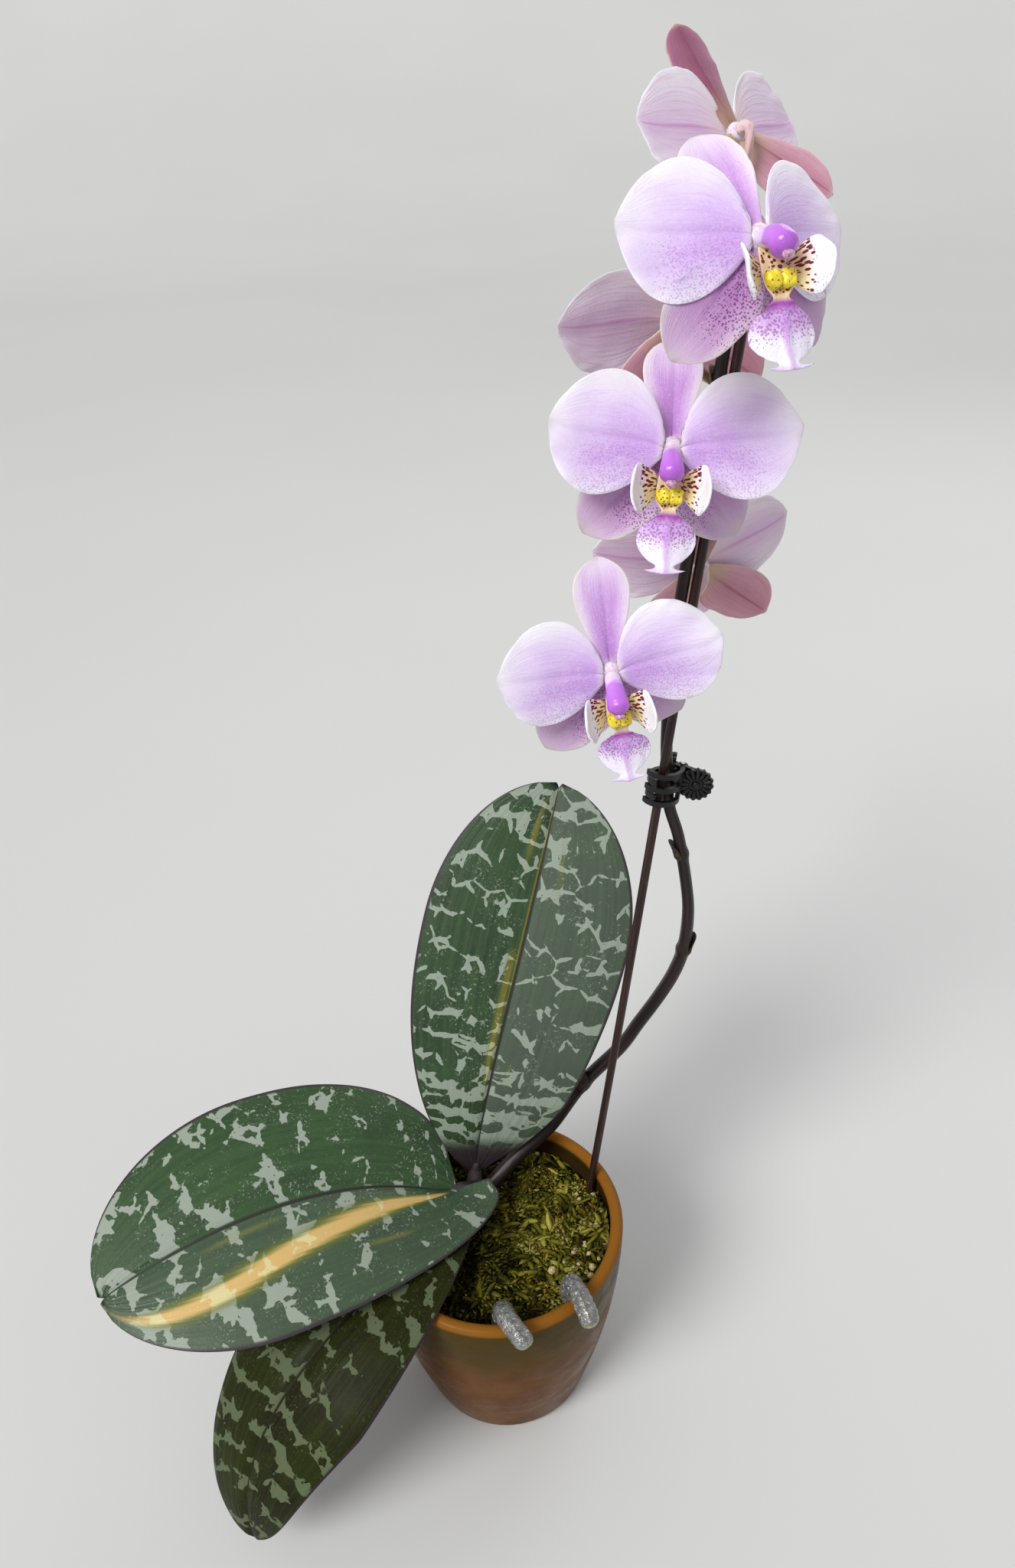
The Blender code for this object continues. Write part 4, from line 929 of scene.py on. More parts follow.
stem = {"at": (-10.0, 11.0), "sheaths": 5, "foot": 62.0, "tall": 41.0, "crown": 95.0,
        "sheathStep": 0.7, "crownColour": (0.030, 0.018, 0.024),
        "tones": ((0.25, (0.03, 0.02, 0.015)), (0.5, (0.09, 0.07, 0.035)),
                  (0.75, (0.17, 0.13, 0.07))),
        "profile": ((0.9, 62.0), (6.0, 62.2), (8.5, 72.0), (9.0, 82.0), (8.2, 88.0), (6.4, 92.5),
                    (4.2, 95.5), (2.0, 97.0), (0.9, 97.3)),
        # the base of each leaf: a flattened sheath along these points, with these radii
        "bases": {"tallLeaf": (((-10.0, 12.5, 82.0), (-9.6, 17.5, 88.0), (-8.6, 22.2, 93.5),
                                (-8.0, 21.6, 98.5)), (5.0, 4.6, 3.4, 1.6)),
                  "leftLeaf": (((-9.5, 11.0, 84.0), (-11.0, 10.5, 92.0), (-14.0, 9.6, 97.2),
                                (-19.0, 8.2, 98.6)), (5.5, 5.0, 3.8, 2.2)),
                  "lowLeaf": (((-10.0, 11.0, 78.0), (-10.6, 7.5, 84.0), (-12.2, 3.6, 88.6),
                               (-16.0, -1.5, 93.0)), (5.5, 5.0, 3.6, 2.0))}}
roots = {
    "rootLeft": {"node": "root_left", "radius": 3.5,
                 "path": ((-1.0, -36.0, 69.0), (0.2, -39.0, 80.0), (0.8, -40.5, 90.0),
                          (1.1, -42.0, 93.6), (1.9, -44.6, 95.6), (3.6, -47.9, 96.1),
                          (5.9, -51.3, 95.8), (8.2, -54.2, 94.8), (9.8, -56.0, 93.0))},
    "rootRight": {"node": "root_right", "radius": 3.5,
                  "path": ((25.2, -28.6, 69.0), (26.2, -30.3, 80.0), (26.7, -31.0, 89.5),
                           (27.1, -32.6, 93.6), (28.0, -35.3, 95.5), (29.3, -38.4, 96.0),
                           (30.8, -42.2, 96.0), (32.0, -46.0, 95.0), (33.2, -49.6, 92.4))},
}
# root skin; the near-white spot colour is painted highlight
rootSkin = {"tones": ((0.3, (0.085, 0.09, 0.085)), (0.5, (0.165, 0.17, 0.165)),
                      (0.7, (0.33, 0.33, 0.325))),
            "warm": (0.30, 0.25, 0.20), "paintedGlint": (0.80, 0.82, 0.80), "tip": (0.22, 0.30, 0.05),
            "buried": (0.16, 0.14, 0.08)}
stake = {"radius": 1.5, "dark": (0.014, 0.006, 0.005), "light": (0.050, 0.022, 0.016),
         "path": ((32.4, 15.6, 38.0), (38.4, 17.3, 84.0), (51.6, 21.7, 179.0), (67.3, 25.7, 300.0),
                  (83.6, 29.6, 420.0))}
spike = {
    "offset": (-3.8, 0.9, 0.0), "beside": (341.0, 416.0), "swell": 0.55,
    "foot": ((-5.5, 16.5, 86.0), (6.0, 24.0, 94.5), (17.2, 28.0, 103.7), (24.8, 30.0, 111.0),
             (37.3, 32.5, 130.0), (52.4, 33.7, 147.7), (59.7, 33.7, 160.6), (66.6, 32.8, 174.0),
             (72.1, 31.7, 187.0), (75.4, 30.8, 200.0), (76.3, 29.6, 216.0), (75.2, 28.6, 230.0),
             (71.5, 27.5, 252.5), (67.8, 27.4, 266.0), (66.9, 28.2, 276.0), (66.5, 29.4, 287.0),
             (66.5, 29.6, 299.0), (66.8, 29.6, 320.0)),
    "end": ((81.4, 30.8, 434.0), (81.8, 32.5, 448.0), (80.8, 36.0, 459.0)),
    "radii": ((0.0, 3.1), (0.18, 2.6), (0.28, 2.5), (0.38, 2.1), (0.5, 2.0), (1.0, 1.75)),
    # height, way out in degrees and length of the bracts below the flowers
    "bracts": ((130.0, 200, 8.0), (200.0, 20, 8.0), (246.0, 185, 8.0)), "flowerBract": 5.0,
    # dark streaks, light streaks and roughness
    "skins": {"spike skin": ((0.008, 0.0045, 0.004), (0.026, 0.014, 0.012), 0.38),
              "dark bract": ((0.016, 0.010, 0.007), (0.07, 0.05, 0.03), 0.55),
              "green bract": ((0.07, 0.06, 0.02), (0.2, 0.17, 0.08), 0.5)},
}


def onPath(path, z):
    # the point of an upward path at a height
    return np.array([np.interp(z, path[:, 2], path[:, 0]), np.interp(z, path[:, 2], path[:, 1]), z])


stakePath = curveThrough(stake["path"], 120)
besidePath = [onPath(stakePath, z) + spike["offset"] for z in np.linspace(*spike["beside"], 4)]
spikePath = curveThrough([*spike["foot"], *besidePath, *spike["end"]], 420)


def spikeRadius(z):
    share = (np.asarray(z, float) - spikePath[0, 2]) / (spikePath[-1, 2] - spikePath[0, 2])
    return np.interp(share, *zip(*spike["radii"]))


def stemPaint():
    material = newPaint("stem sheaths", 0.7)
    at = objectPlace(material)
    rings = noise(objectPlace(material, (0.2, 0.2, 1.2)), 1.0, 4, 0.6)
    crown = step(axisOf(at, 2), stem["crown"] - 9, stem["crown"])
    base = mixed(crown, ramp(rings, stem["tones"]), stem["crownColour"])
    return finished(material, base, rings + noise(at, 1.5, 2), 0.5)


def rootPaint(name):
    material = newPaint(name, 0.28, Coat_Weight=1.0, Coat_Roughness=0.06, Transmission_Weight=0.25)
    t, v = bladePlace(material)
    at = objectPlace(material)
    wrinkle = noise(at, 0.5, 3, 0.6, 0.8)
    rings = noise(place(t * 34.0, v * 6.0), 1.0, 2)
    paintedGlint = noise(at, 0.8, 1, 0.5, 0.6)  # painted highlights: small bright spots for the sparkle off the silvery skin
    base = layered(ramp(wrinkle, rootSkin["tones"]),
                   (step(noise(at, 0.25, 2), 0.45, 0.7, 0.0, 0.6), rootSkin["warm"]),
                   (step(paintedGlint, 0.62, 0.70, 0.0, 0.7), rootSkin["paintedGlint"]),
                   (step(t, 0.955, 0.985), rootSkin["tip"]),
                   (step(t, 0.42, 0.30), rootSkin["buried"]))
    return finished(material, base, wrinkle + rings * 0.9, 0.7,
                    rough=step(wrinkle, 0.35, 0.65, 0.3, 0.14), coat=True)


def woodyPaint(name, dark, light, roughness):
    # lengthwise streaks along a rod, with a few scars
    material = newPaint(name, roughness, Specular_IOR_Level=0.3)
    t, v = bladePlace(material)
    lines = noise(place(t * 9.0, v * 9.0), 1.0, 3, 0.6)
    scars = noise(objectPlace(material), 0.35, 4, 0.7)
    base = layered(mixed(step(lines, 0.35, 0.7), dark, light),
                   (step(scars, 0.62, 0.75, 0.0, 0.5), lighter(light, 2.2)))
    return finished(material, base, lines + scars * 0.5, 0.25,
                    rough=step(lines, 0.3, 0.7, roughness + 0.1, roughness - 0.08))


def makeStem():
    # lathe with an overlapping step for each old leaf sheath, and a tapering tube under each leaf
    profile = curveThrough([(r, z, 0) for r, z in stem["profile"]], 70)[:, :2]

    def sheaths(z, turn):
        saw = np.mod((z - stem["foot"]) / stem["tall"] * stem["sheaths"] + 0.25 * np.sin(turn), 1)
        return np.where(z > stem["crown"], 0, stem["sheathStep"] * (0.5 - saw)) - 0.15

    parts = [lathePart(profile, 64, stem["at"], sheaths)]
    for path, radii in stem["bases"].values():
        parts.append(tubePart(*curveWith(path, radii, 30), 28, flat=0.75))
    makePiece("stemSheaths", parts, [stemPaint()], "plant", "stem", ("stem_base",))


def makeRoots():
    # tube whose radius swells and shrinks in soft wrinkles, r (1.17 + ripples), rounded at its tip
    sides = 28
    x, y = 7 * np.cos(turnsOf(sides))[None], 7 * np.sin(turnsOf(sides))[None]
    for k, (name, root) in enumerate(roots.items()):
        path = curveThrough(root["path"], 130)
        s = np.linspace(0, 1, len(path))
        run = s[:, None] * 60
        folds = 1.17 + 0.16 * ripple(run, x, 40 + k, 9, 6) + 0.08 * ripple(run, y, 50 + k, 3, 4)
        close = np.sqrt(np.clip(1 - (np.clip(s - 0.93, 0, 1) / 0.07) ** 2, 0.003, 1))
        part = tubePart(path, root["radius"] * close * (1 - 0.10 * s), sides, across=folds)
        makePiece(name, [part], [rootPaint(name + " skin")], "plant", "root", (root["node"],))


def makeStake():
    # round rod with bevelled ends
    radii = np.full(len(stakePath), stake["radius"])
    radii[0] *= 0.6
    radii[-1] *= 0.75
    makePiece("stakeRod", [tubePart(stakePath, radii, 20)],
              [woodyPaint("stake coat", stake["dark"], stake["light"], 0.42)],
              "plant", "stake", ("stake",))


def bractPart(z, way, length, paint):
    # a pointed sheath: a strip of the spike's own round, 78 degrees to each side and narrowing as
    # sqrt(1.02 - s^2)
    s, a = np.linspace(0, 1, 14)[:, None], np.linspace(-1, 1, 9)[None]
    foot, top = onPath(spikePath, z - 1.2), onPath(spikePath, z - 1.2 + length)
    ahead = unit(top - foot)
    out = outOf(way, ahead)
    side = np.cross(ahead, out)
    angle = np.radians(78) * a * np.sqrt(np.clip(1.02 - s ** 2, 0, 1))
    reach = spikeRadius(z) + 0.55 + 1.1 * s ** 2
    grid = (foot + (s * length)[..., None] * ahead + (reach * np.cos(angle))[..., None] * out
            + (reach * np.sin(angle))[..., None] * side)
    half = 0.3 * closing(a, 4) * (1 - 0.5 * s)
    return sheetPart(grid[:, ::-1], half, s, (a[:, ::-1] + 1) / 2, paint, paint)


def outOf(way, ahead):
    # the level direction at that angle, made square to the way ahead
    out = np.array((math.cos(math.radians(way)), math.sin(math.radians(way)), 0.0))
    return unit(out - (out @ ahead) * ahead)


def makeSpike():
    # rod that swells as exp(-(dz/2)^2) at each node, with a thin sheath there
    z, branches = spikePath[:, 2], flowers[:-1]
    radii = spikeRadius(z)
    nodes = [bract[0] for bract in spike["bracts"]] + [flower["node"] for flower in branches]
    for node in nodes:
        radii = radii + spike["swell"] * np.exp(-((z - node) / 2.0) ** 2)
    radii = radii * np.clip((len(z) - np.arange(len(z))) / 6, 0.3, 1) ** 0.5
    ribs = 1 + 0.02 * np.sin(5 * turnsOf(24))[None] * np.ones((len(z), 1))
    parts = [tubePart(spikePath, radii, 24, across=ribs)]
    parts += [bractPart(*bract, 1) for bract in spike["bracts"]]
    parts += [bractPart(flower["node"], flower["leaves"], spike["flowerBract"], 2)
              for flower in branches]
    skins = [woodyPaint(name, *skin) for name, skin in spike["skins"].items()]
    makePiece("flowerSpike", parts, skins, "plant", "spike", ("spike",))


# each flower: its middle, how it is turned, the height of its node on the spike and the way it
# leaves there, and how far its petals, upper sepal (back, sideways) and side sepals lean
flowers = (
    {"at": (46.0, 9.2, 327.3), "yaw": 0, "pitch": 5, "roll": 8, "size": 1.0, "node": 322.0,
     "leaves": -150, "petals": (1, 4), "dorsal": (2, -2), "sepals": (24, 10)},
    {"at": (78.5, 52.3, 342.2), "yaw": 194, "pitch": 18, "roll": -7, "size": 1.0, "node": 333.0,
     "leaves": 85, "petals": (14, 6), "dorsal": (12, 0), "sepals": (14, 6)},
    {"at": (62.4, 11.8, 391.7), "yaw": -7, "pitch": 16, "roll": -3, "size": 1.0, "node": 374.0,
     "leaves": -130, "petals": (0, 6), "dorsal": (32, 2), "sepals": (25, 13)},
    {"at": (68.4, 50.9, 417.3), "yaw": 198, "pitch": 22, "roll": -13, "size": 1.0, "node": 404.0,
     "leaves": 130, "petals": (4, 8), "dorsal": (12, 0), "sepals": (14, 14)},
    {"at": (78.8, -4.8, 444.3), "yaw": 10, "pitch": 26, "roll": 1, "size": 1.0, "node": 430.0,
     "leaves": -100, "petals": (-36, -8), "dorsal": (27, 12), "sepals": (32, 6)},
    {"at": (82.6, 51.5, 461.5), "yaw": 212, "pitch": -29, "roll": 1, "size": 0.9, "node": 453.0,
     "leaves": 85, "petals": (-4, 8), "dorsal": (-7, -13), "sepals": (5, 14)},
)
shape = {
    "petalUpper": ((2.0, 1.5), (4.6, 23.5), (23.6, 25.8), (33.5, 6.5)),
    "petalLower": ((2.0, -1.5), (12.0, -15.0), (32.0, -20.0), (33.5, 6.5)),
    "dorsalSide": ((1.9, 1.0), (4.0, 12.0), (16.0, 30.0), (0.0, 34.8)),
    "lateralSide": ((1.9, 1.0), (6.0, 10.0), (17.5, 27.0), (0.0, 34.4)),
    "lateralAngles": (-138.0, 135.5), "innerSwell": 3.1, "petalLift": 0.6, "sepalDrop": -1.2,
    "heart": (3.2, 3.2, 2.56), "thick": 0.62,
    "petalRows": 34, "petalColumns": 31, "sepalRows": 30, "sepalColumns": 23,
    # the lip's midlobe: y, z and half width of its strip
    "lipPath": ((-3.1, 1.9, 2.2), (-8.0, 3.9, 3.2), (-13.0, 5.8, 3.6), (-15.8, 6.5, 1.9),
                (-17.4, 6.6, 3.2), (-20.2, 6.6, 6.8), (-23.4, 6.6, 8.0), (-26.4, 6.7, 7.2),
                (-29.0, 6.9, 4.8), (-30.6, 7.3, 2.4), (-32.4, 8.0, 5.7)),
    "lipHalf": 0.34, "lobeRoot": (3.4, -9.5, 4.4), "lobeReach": 12.5, "lobeSpread": 33.0,
    "lobeTall": 6.0, "lobeHalf": 0.38, "callusAt": (0.0, -12.1, 7.4), "callusApart": 1.7,
    "callusSize": (1.9, 2.1, 1.8), "capAt": (0.0, -8.6, 12.9), "capSize": (1.5, 1.1, 1.2),
    "columnPath": ((0.0, -1.2, 1.4), (0.0, -1.6, 3.4), (0.0, -2.4, 6.0), (0.0, -4.2, 9.6),
                   (0.0, -6.9, 12.2), (0.0, -8.2, 13.2)),
    "columnRadii": (2.3, 2.4, 2.6, 3.0, 3.2, 2.0), "noseRadius": 2.9,
    "stalkRadius": 1.2, "stalkReach": 7.0, "stalkApproach": 13.0,
}
petalLooks = {
    # face: middle of the flower, between, pale outer part and rim; back: middle, outer part, tip,
    # foot and veins, and the width of its middle line; dots: from where they start to where they
    # are strongest along the blade, the same for their end, and for their side of the midline
    "petal": {
        "face": ((0.57, 0.35, 0.75), (0.70, 0.54, 0.85), (0.82, 0.73, 0.90), (0.86, 0.82, 0.89)),
        "back": ((0.63, 0.47, 0.67), (0.77, 0.70, 0.79), (0.84, 0.79, 0.87), (0.74, 0.60, 0.60),
                 (0.48, 0.24, 0.48)), "lineWidth": 0.07, "rimStart": 0.9, "lopsided": 0.30,
        "dots": {"colour": (0.44, 0.20, 0.58), "size": 1.7, "from": (0.08, 0.2),
                 "until": (0.9, 0.5), "side": (0.56, 0.36), "strength": 0.55}},
    "dorsal sepal": {
        "face": ((0.46, 0.21, 0.60), (0.62, 0.38, 0.74), (0.80, 0.65, 0.86), (0.80, 0.73, 0.74)),
        "back": ((0.25, 0.070, 0.135), (0.34, 0.13, 0.22), (0.56, 0.50, 0.36), (0.40, 0.26, 0.16),
                 (0.22, 0.05, 0.13)), "lineWidth": 0.10, "rimStart": 0.86, "lopsided": 0.0,
        "dots": {"colour": (0.40, 0.15, 0.50), "size": 1.1, "from": (0.1, 0.3),
                 "until": (0.8, 0.5), "side": (0.0, 0.1), "strength": 0.12}},
    # the side sepals' face is darkened as painted shade from the petals above, over its own purple
    "side sepal": {
        "face": ((0.355, 0.16, 0.405), (0.435, 0.25, 0.465), (0.54, 0.39, 0.56),
                 (0.57, 0.49, 0.49)),
        "back": ((0.48, 0.21, 0.29), (0.60, 0.32, 0.41), (0.60, 0.52, 0.40), (0.52, 0.42, 0.22),
                 (0.26, 0.06, 0.12)), "lineWidth": 0.08, "rimStart": 0.90, "lopsided": 0.0,
        "dots": {"colour": (0.15, 0.02, 0.16), "size": 1.6, "from": (0.02, 0.12),
                 "until": (0.92, 0.5), "side": (0.30, 0.66), "strength": 0.85}},
}
tints = {
    "maroon": (0.16, 0.008, 0.012), "purple": (0.36, 0.08, 0.42), "claw": (0.84, 0.74, 0.84),
    "throat": (0.80, 0.62, 0.36), "violet": (0.60, 0.38, 0.74), "lipPale": (0.81, 0.75, 0.88),
    "horns": (0.74, 0.60, 0.86), "lipDots": (0.28, 0.08, 0.34), "ridge": (0.58, 0.28, 0.75),
    "lipBack": (0.80, 0.66, 0.86), "lipBackFoot": (0.55, 0.25, 0.5), "blotch": (0.6, 0.36, 0.66),
    "ear": (0.90, 0.87, 0.90), "earInside": (0.84, 0.70, 0.38), "earOutside": (0.72, 0.5, 0.7),
    "callus": (0.78, 0.60, 0.01), "callusLight": (0.90, 0.80, 0.05),
    "callusDots": (0.36, 0.11, 0.01),
    "column": ((0.0, (0.86, 0.76, 0.86)), (0.26, (0.80, 0.62, 0.86)), (0.38, (0.56, 0.22, 0.76)),
               (0.8, (0.50, 0.14, 0.72)), (1.0, (0.36, 0.09, 0.50))),
    "stalk": ((0.0, (0.12, 0.07, 0.03)), (0.25, (0.36, 0.26, 0.15)), (0.65, (0.60, 0.40, 0.42)),
              (1.0, (0.74, 0.60, 0.60))), "stalkStreak": (0.42, 0.16, 0.20),
    "heart": ((0.35, (0.62, 0.44, 0.62)), (0.65, (0.84, 0.74, 0.80))),
    "cap": ((0.35, (0.26, 0.06, 0.20)), (0.6, (0.62, 0.40, 0.52))),
}


def setOut(points, flower):
    # a flower is drawn with x right, y up and z out of its face, then turned by roll, pitch and yaw
    upright = np.array(((1, 0, 0), (0, 0, -1), (0, 1, 0)), float)
    turn = turnBy("Z", flower["yaw"]) @ turnBy("X", -flower["pitch"]) @ upright
    turn = turn @ turnBy("Z", flower["roll"])
    return np.asarray(points, float) @ turn.T * flower["size"] + np.array(flower["at"])


def setOutPart(part, flower):
    return {**part, "points": setOut(part["points"], flower)}


def bladeRows(kind):
    # rows close together at the tip, and columns close together at the margins
    t = 0.994 * (1 - (1 - np.linspace(0.0, 1.0, shape[kind + "Rows"])) ** 1.5)
    return t, acrossColumns(shape[kind + "Columns"])[None]


def bladeHalf(t, v, more, power):
    # half thickness: rounded at margin and tip, and thicker at the foot
    return (shape["thick"] / 2 * closing(v, 8) * np.sqrt(np.clip(8 * (1 - t), 0, 1))
            * (1 + more * (1 - t) ** power))


def petalPart(flower, side, lean, seed):
    # between an upper and a lower Bezier margin: z = lift + 2.4 (x/34)^2 - 1.2 v^2 sin(pi t),
    # with a frilled margin, a pressed midline and slow waves; side is 1 right and -1 left
    t, v = bladeRows("petal")
    upper, lower = bezier(shape["petalUpper"], t)[:, None], bezier(shape["petalLower"], t)[:, None]
    flat = upper * ((1 + v) / 2)[..., None] + lower * ((1 - v) / 2)[..., None]
    x, y, t = flat[..., 0], flat[..., 1], t[:, None]
    fan = np.arctan2(y, x + 3)
    rim = np.maximum(np.abs(v) ** 5, t ** 7)
    z = shape["petalLift"] + 2.4 * (x / 34.0) ** 2 - 1.2 * v ** 2 * np.sin(math.pi * t)
    z = z + 1.5 * rim * ripple(fan * 30, t * 10, seed, 11, 6) + t * ripple(x, y, seed + 1, 26, 4)
    z = z - 0.45 * np.exp(-(v / 0.05) ** 2) * (1 - t) ** 0.7
    z = z + 0.10 * np.sin(fan * 44) * t * (1 - rim)
    wander = 1 + 0.02 * rim * ripple(fan * 26, t * 4, seed + 2, 12, 5)
    points = np.stack([x * wander, y * wander, z], -1) @ turnBy("Y", -lean).T
    points[..., 0] *= side
    half, v = bladeHalf(t, v, 1.2, 4), (v + 1) / 2
    if side < 0:
        points, half, v = points[:, ::-1], half[:, ::-1], v[:, ::-1]
    return sheetPart(setOut(points, flower), half, t, v, 0, 1)


def sepalPart(flower, margin, angle, back, inner, more, paints, seed):
    # between a Bezier margin and its mirror image: z = drop + 1.3 v^2 sin(pi t) with a pressed
    # midline, tipped back and turned by angle; the inner side swells by more times
    # exp(-((t - 0.34) / 0.17)^2)
    t, v = bladeRows("sepal")
    edge, t = bezier(margin, t), t[:, None]
    fuller = more * np.exp(-((t - 0.34) / 0.17) ** 2) * (inner * v > 0)
    x, y = -v * (edge[:, :1] + fuller), edge[:, 1:2] + 0 * v
    rim = np.maximum(np.abs(v) ** 5, t ** 9)
    z = shape["sepalDrop"] + 1.3 * v ** 2 * np.sin(math.pi * t)
    z = z - 0.5 * np.exp(-(v / 0.09) ** 2) * (1 - t)
    z = z + 0.8 * rim * ripple(x, y, seed, 12, 5) + 0.7 * t * ripple(x, y, seed + 1, 22, 4)
    points = np.stack([x, y, z], -1) @ turnBy("X", -back).T @ turnBy("Z", angle).T
    half = bladeHalf(t, v, 1.4, 3)
    return sheetPart(setOut(points, flower), half, t, (inner * v + 1) / 2, *paints)


def petalPaint(name, look):
    deep, mid, pale, rimColour = look["face"]
    material = newPaint(name + " face", 0.5, Subsurface_Weight=0.18, Subsurface_Scale=0.004,
                        Subsurface_Radius=(1.0, 0.6, 0.9), Sheen_Weight=0.15, Sheen_Roughness=0.4)
    t, v = bladePlace(material)
    spread, at = spreadOf(v), objectPlace(material)
    cloud = noise(at, 0.07, 3, 0.6)
    outer = step(t, 0.02, 0.5, 0.3, 1.0)  # the pale margin fades towards the middle of the flower
    reach = larger(spread ** 1.6 * outer, t ** 2.2) + (cloud - 0.5) * 0.5
    reach = reach + (v - 0.5) * look["lopsided"]
    # veins: fine streaks that run with the blade, and a deeper line down its middle
    fan = noise(place(t * 2.2, v * 34.0), 1.0, 3, 0.55)
    net = cells(place(t * 26.0, v * 60.0))
    vein = step(fan, 0.5, 0.66, 0.0, 0.4) * step(spread, 0.95, 0.6) * step(t, 0.98, 0.5, 0.2, 0.7)
    line = step(spread, 0.12, 0.0) * step(t, 1.0, 0.2, 0.0, 0.6)
    fleck = noise(at, 1.5, 3, 0.7)  # pale flecks between the veins
    # tiny dots on one side of the midline, fewer and smaller away from the middle of the flower
    dots = look["dots"]
    where = step(t, *dots["from"]) * step(t, *dots["until"]) * step(v, *dots["side"])
    dotted = step(cells(at, dots["size"]) - where * 0.40, 0.05, -0.05)
    rim = larger(step(spread, look["rimStart"], 1.0) * outer, step(t, 0.965, 1.0))
    base = layered(ramp(reach, ((0.0, deep), (0.30, mid), (0.72, pale), (1.0, rimColour))),
                   (vein, deep), (line, lighter(deep, 0.8)),
                   (step(fleck, 0.5, 0.68, 0.0, 0.3), pale),
                   (dotted * dots["strength"], dots["colour"]), (rim * 0.3, rimColour),
                   (step(t, 0.13, 0.02, 0.0, 0.75), tints["claw"]))
    return finished(material, base, fan * 0.9 + net * 0.25 + fleck * 0.35, 0.35, 0.6)


def backPaint(name, look):
    middle, outer, tip, foot, veinColour = look["back"]
    material = newPaint(name + " back", 0.5, Subsurface_Weight=0.15, Subsurface_Scale=0.004)
    t, v = bladePlace(material)
    spread, at = spreadOf(v), objectPlace(material)
    reach = spread + (noise(at, 0.08, 3, 0.6) - 0.5) * 0.5
    fan = noise(place(t * 2.2, v * 30.0), 1.0, 3, 0.55)
    ends = larger(step(t, 0.9, 1.0), step(spread, 0.92, 1.0))
    base = layered(ramp(reach, ((0.05, middle), (0.85, outer))),
                   (step(fan, 0.48, 0.68, 0.0, 0.28), veinColour),
                   (step(spread, look["lineWidth"], 0.0) * 0.7, veinColour),
                   (step(t, 0.42, 0.05, 0.0, 0.75), foot), (ends * 0.7, tip))
    return finished(material, base, fan + noise(at, 1.5, 2) * 0.3, 0.35, 0.6)


def lipPart(flower):
    # strip along a curve of (y, z, half width): z rises as 0.1 x^2 in its first part and falls as
    # 0.035 x^2 after it, with a middle ridge, and the anchor-shaped tip turns up at its two horns
    rows = curveThrough(shape["lipPath"], 200)
    s, v = np.linspace(0, 1, 64), acrossColumns(23)[None]
    y, z, w = (np.interp(s, np.linspace(0, 1, 200), column)[:, None] for column in rows.T)
    s, x = s[:, None], v * w
    ridge = 0.9 * np.exp(-(x / 0.8) ** 2) * np.clip((s - 0.42) * 6, 0, 1)
    cup = np.where(s < 0.42, 0.10, -0.035) * x ** 2
    horn = 1.4 * np.clip((s - 0.9) / 0.1, 0, 1) ** 2 * np.abs(v) ** 2
    frill = 0.7 * np.abs(v) ** 3 * ripple(y, x, 77, 6, 4) * np.clip((s - 0.4) * 4, 0, 1)
    points = np.stack([x, y + 0.8 * horn, z + cup + ridge + horn + frill], -1)
    half = shape["lipHalf"] * closing(v, 6) * (1 + 0 * s)
    return sheetPart(setOut(points, flower), half, s, (v + 1) / 2, 0, 1)


def lobePart(flower, side):
    # ear: forward and outward by the reach, which is shorter towards its top and bottom and so
    # rounds its far edge; its half height swells as sin, and it bows outward half way along
    s, t = np.linspace(0.0, 1.0, 24)[:, None], acrossColumns(21)[None]
    rootX, rootY, rootZ = shape["lobeRoot"]
    spread = math.radians(shape["lobeSpread"])
    tall = shape["lobeTall"] * (0.5 + 0.72 * np.sin(math.pi * 0.6 * s)) * (1 - 0.16 * s ** 3)
    high, low = np.clip(t, 0, 1), np.clip(-t, 0, 1)
    reach = shape["lobeReach"] * s * (1 - 0.44 * high ** 1.8 - 0.24 * low ** 3)
    x = (rootX + reach * math.sin(spread) - 0.5 * low ** 2 * s + 1.3 * np.sin(math.pi * s)
         + 2.2 * high ** 2 * s)
    y = rootY + t * tall - 1.5 * s + 1.2 * s ** 2 - 0.9 * high ** 3 * s
    z = rootZ + reach * math.cos(spread) + 0.3 * np.sin(6 * t + 1) * s
    points, v = np.stack([side * x, y, z], -1), (t + 1) / 2
    half = shape["lobeHalf"] * closing(t, 6) * (1 + 0.5 * (1 - s))
    if side < 0:
        points, v = points[:, ::-1], v[:, ::-1]
    return sheetPart(setOut(points, flower), half, s, v, 2, 3)


def lipFacePaint():
    material = newPaint("lip midlobe", 0.42, Subsurface_Weight=0.15, Subsurface_Scale=0.003)
    t, v = bladePlace(material)
    spread, at = spreadOf(v), objectPlace(material)
    grain = noise(at, 1.2, 3, 0.6)
    far = t + (grain - 0.5) * 0.1
    dashes = step(cells(place(t * 28.0, v * 5.0), 1.0, 0.7), 0.46, 0.38) * step(t, 0.38, 0.34)
    dotty = step(t, 0.42, 0.5) * step(t, 0.82, 0.60)
    dots = step(cells(at, 1.5) - dotty * 0.46, 0.06, -0.05)
    ridge = step(spread, 0.16, 0.02) * step(t, 0.44, 0.56)
    base = layered(mixed(step(t, 0.36, 0.42), tints["throat"], tints["purple"]),
                   (step(far, 0.43, 0.54), tints["violet"]),
                   (step(spread * 0.06 + far, 0.60, 0.74), tints["lipPale"]),
                   (step(t, 0.88, 0.97), tints["horns"]), (dashes, tints["maroon"]),
                   (dots * 0.7, tints["lipDots"]), (ridge * 0.55, tints["ridge"]))
    return finished(material, base, grain, 0.25)


def lipBackPaint():
    material = newPaint("lip back", 0.45, Subsurface_Weight=0.15, Subsurface_Scale=0.003)
    grain = noise(objectPlace(material), 0.9, 3, 0.6)
    foot = step(bladePlace(material)[0], 0.5, 0.3)
    base = layered(mixed(foot, tints["lipBack"], tints["lipBackFoot"]),
                   (step(grain, 0.45, 0.7, 0.0, 0.4), tints["blotch"]))
    return finished(material, base, grain, 0.2)


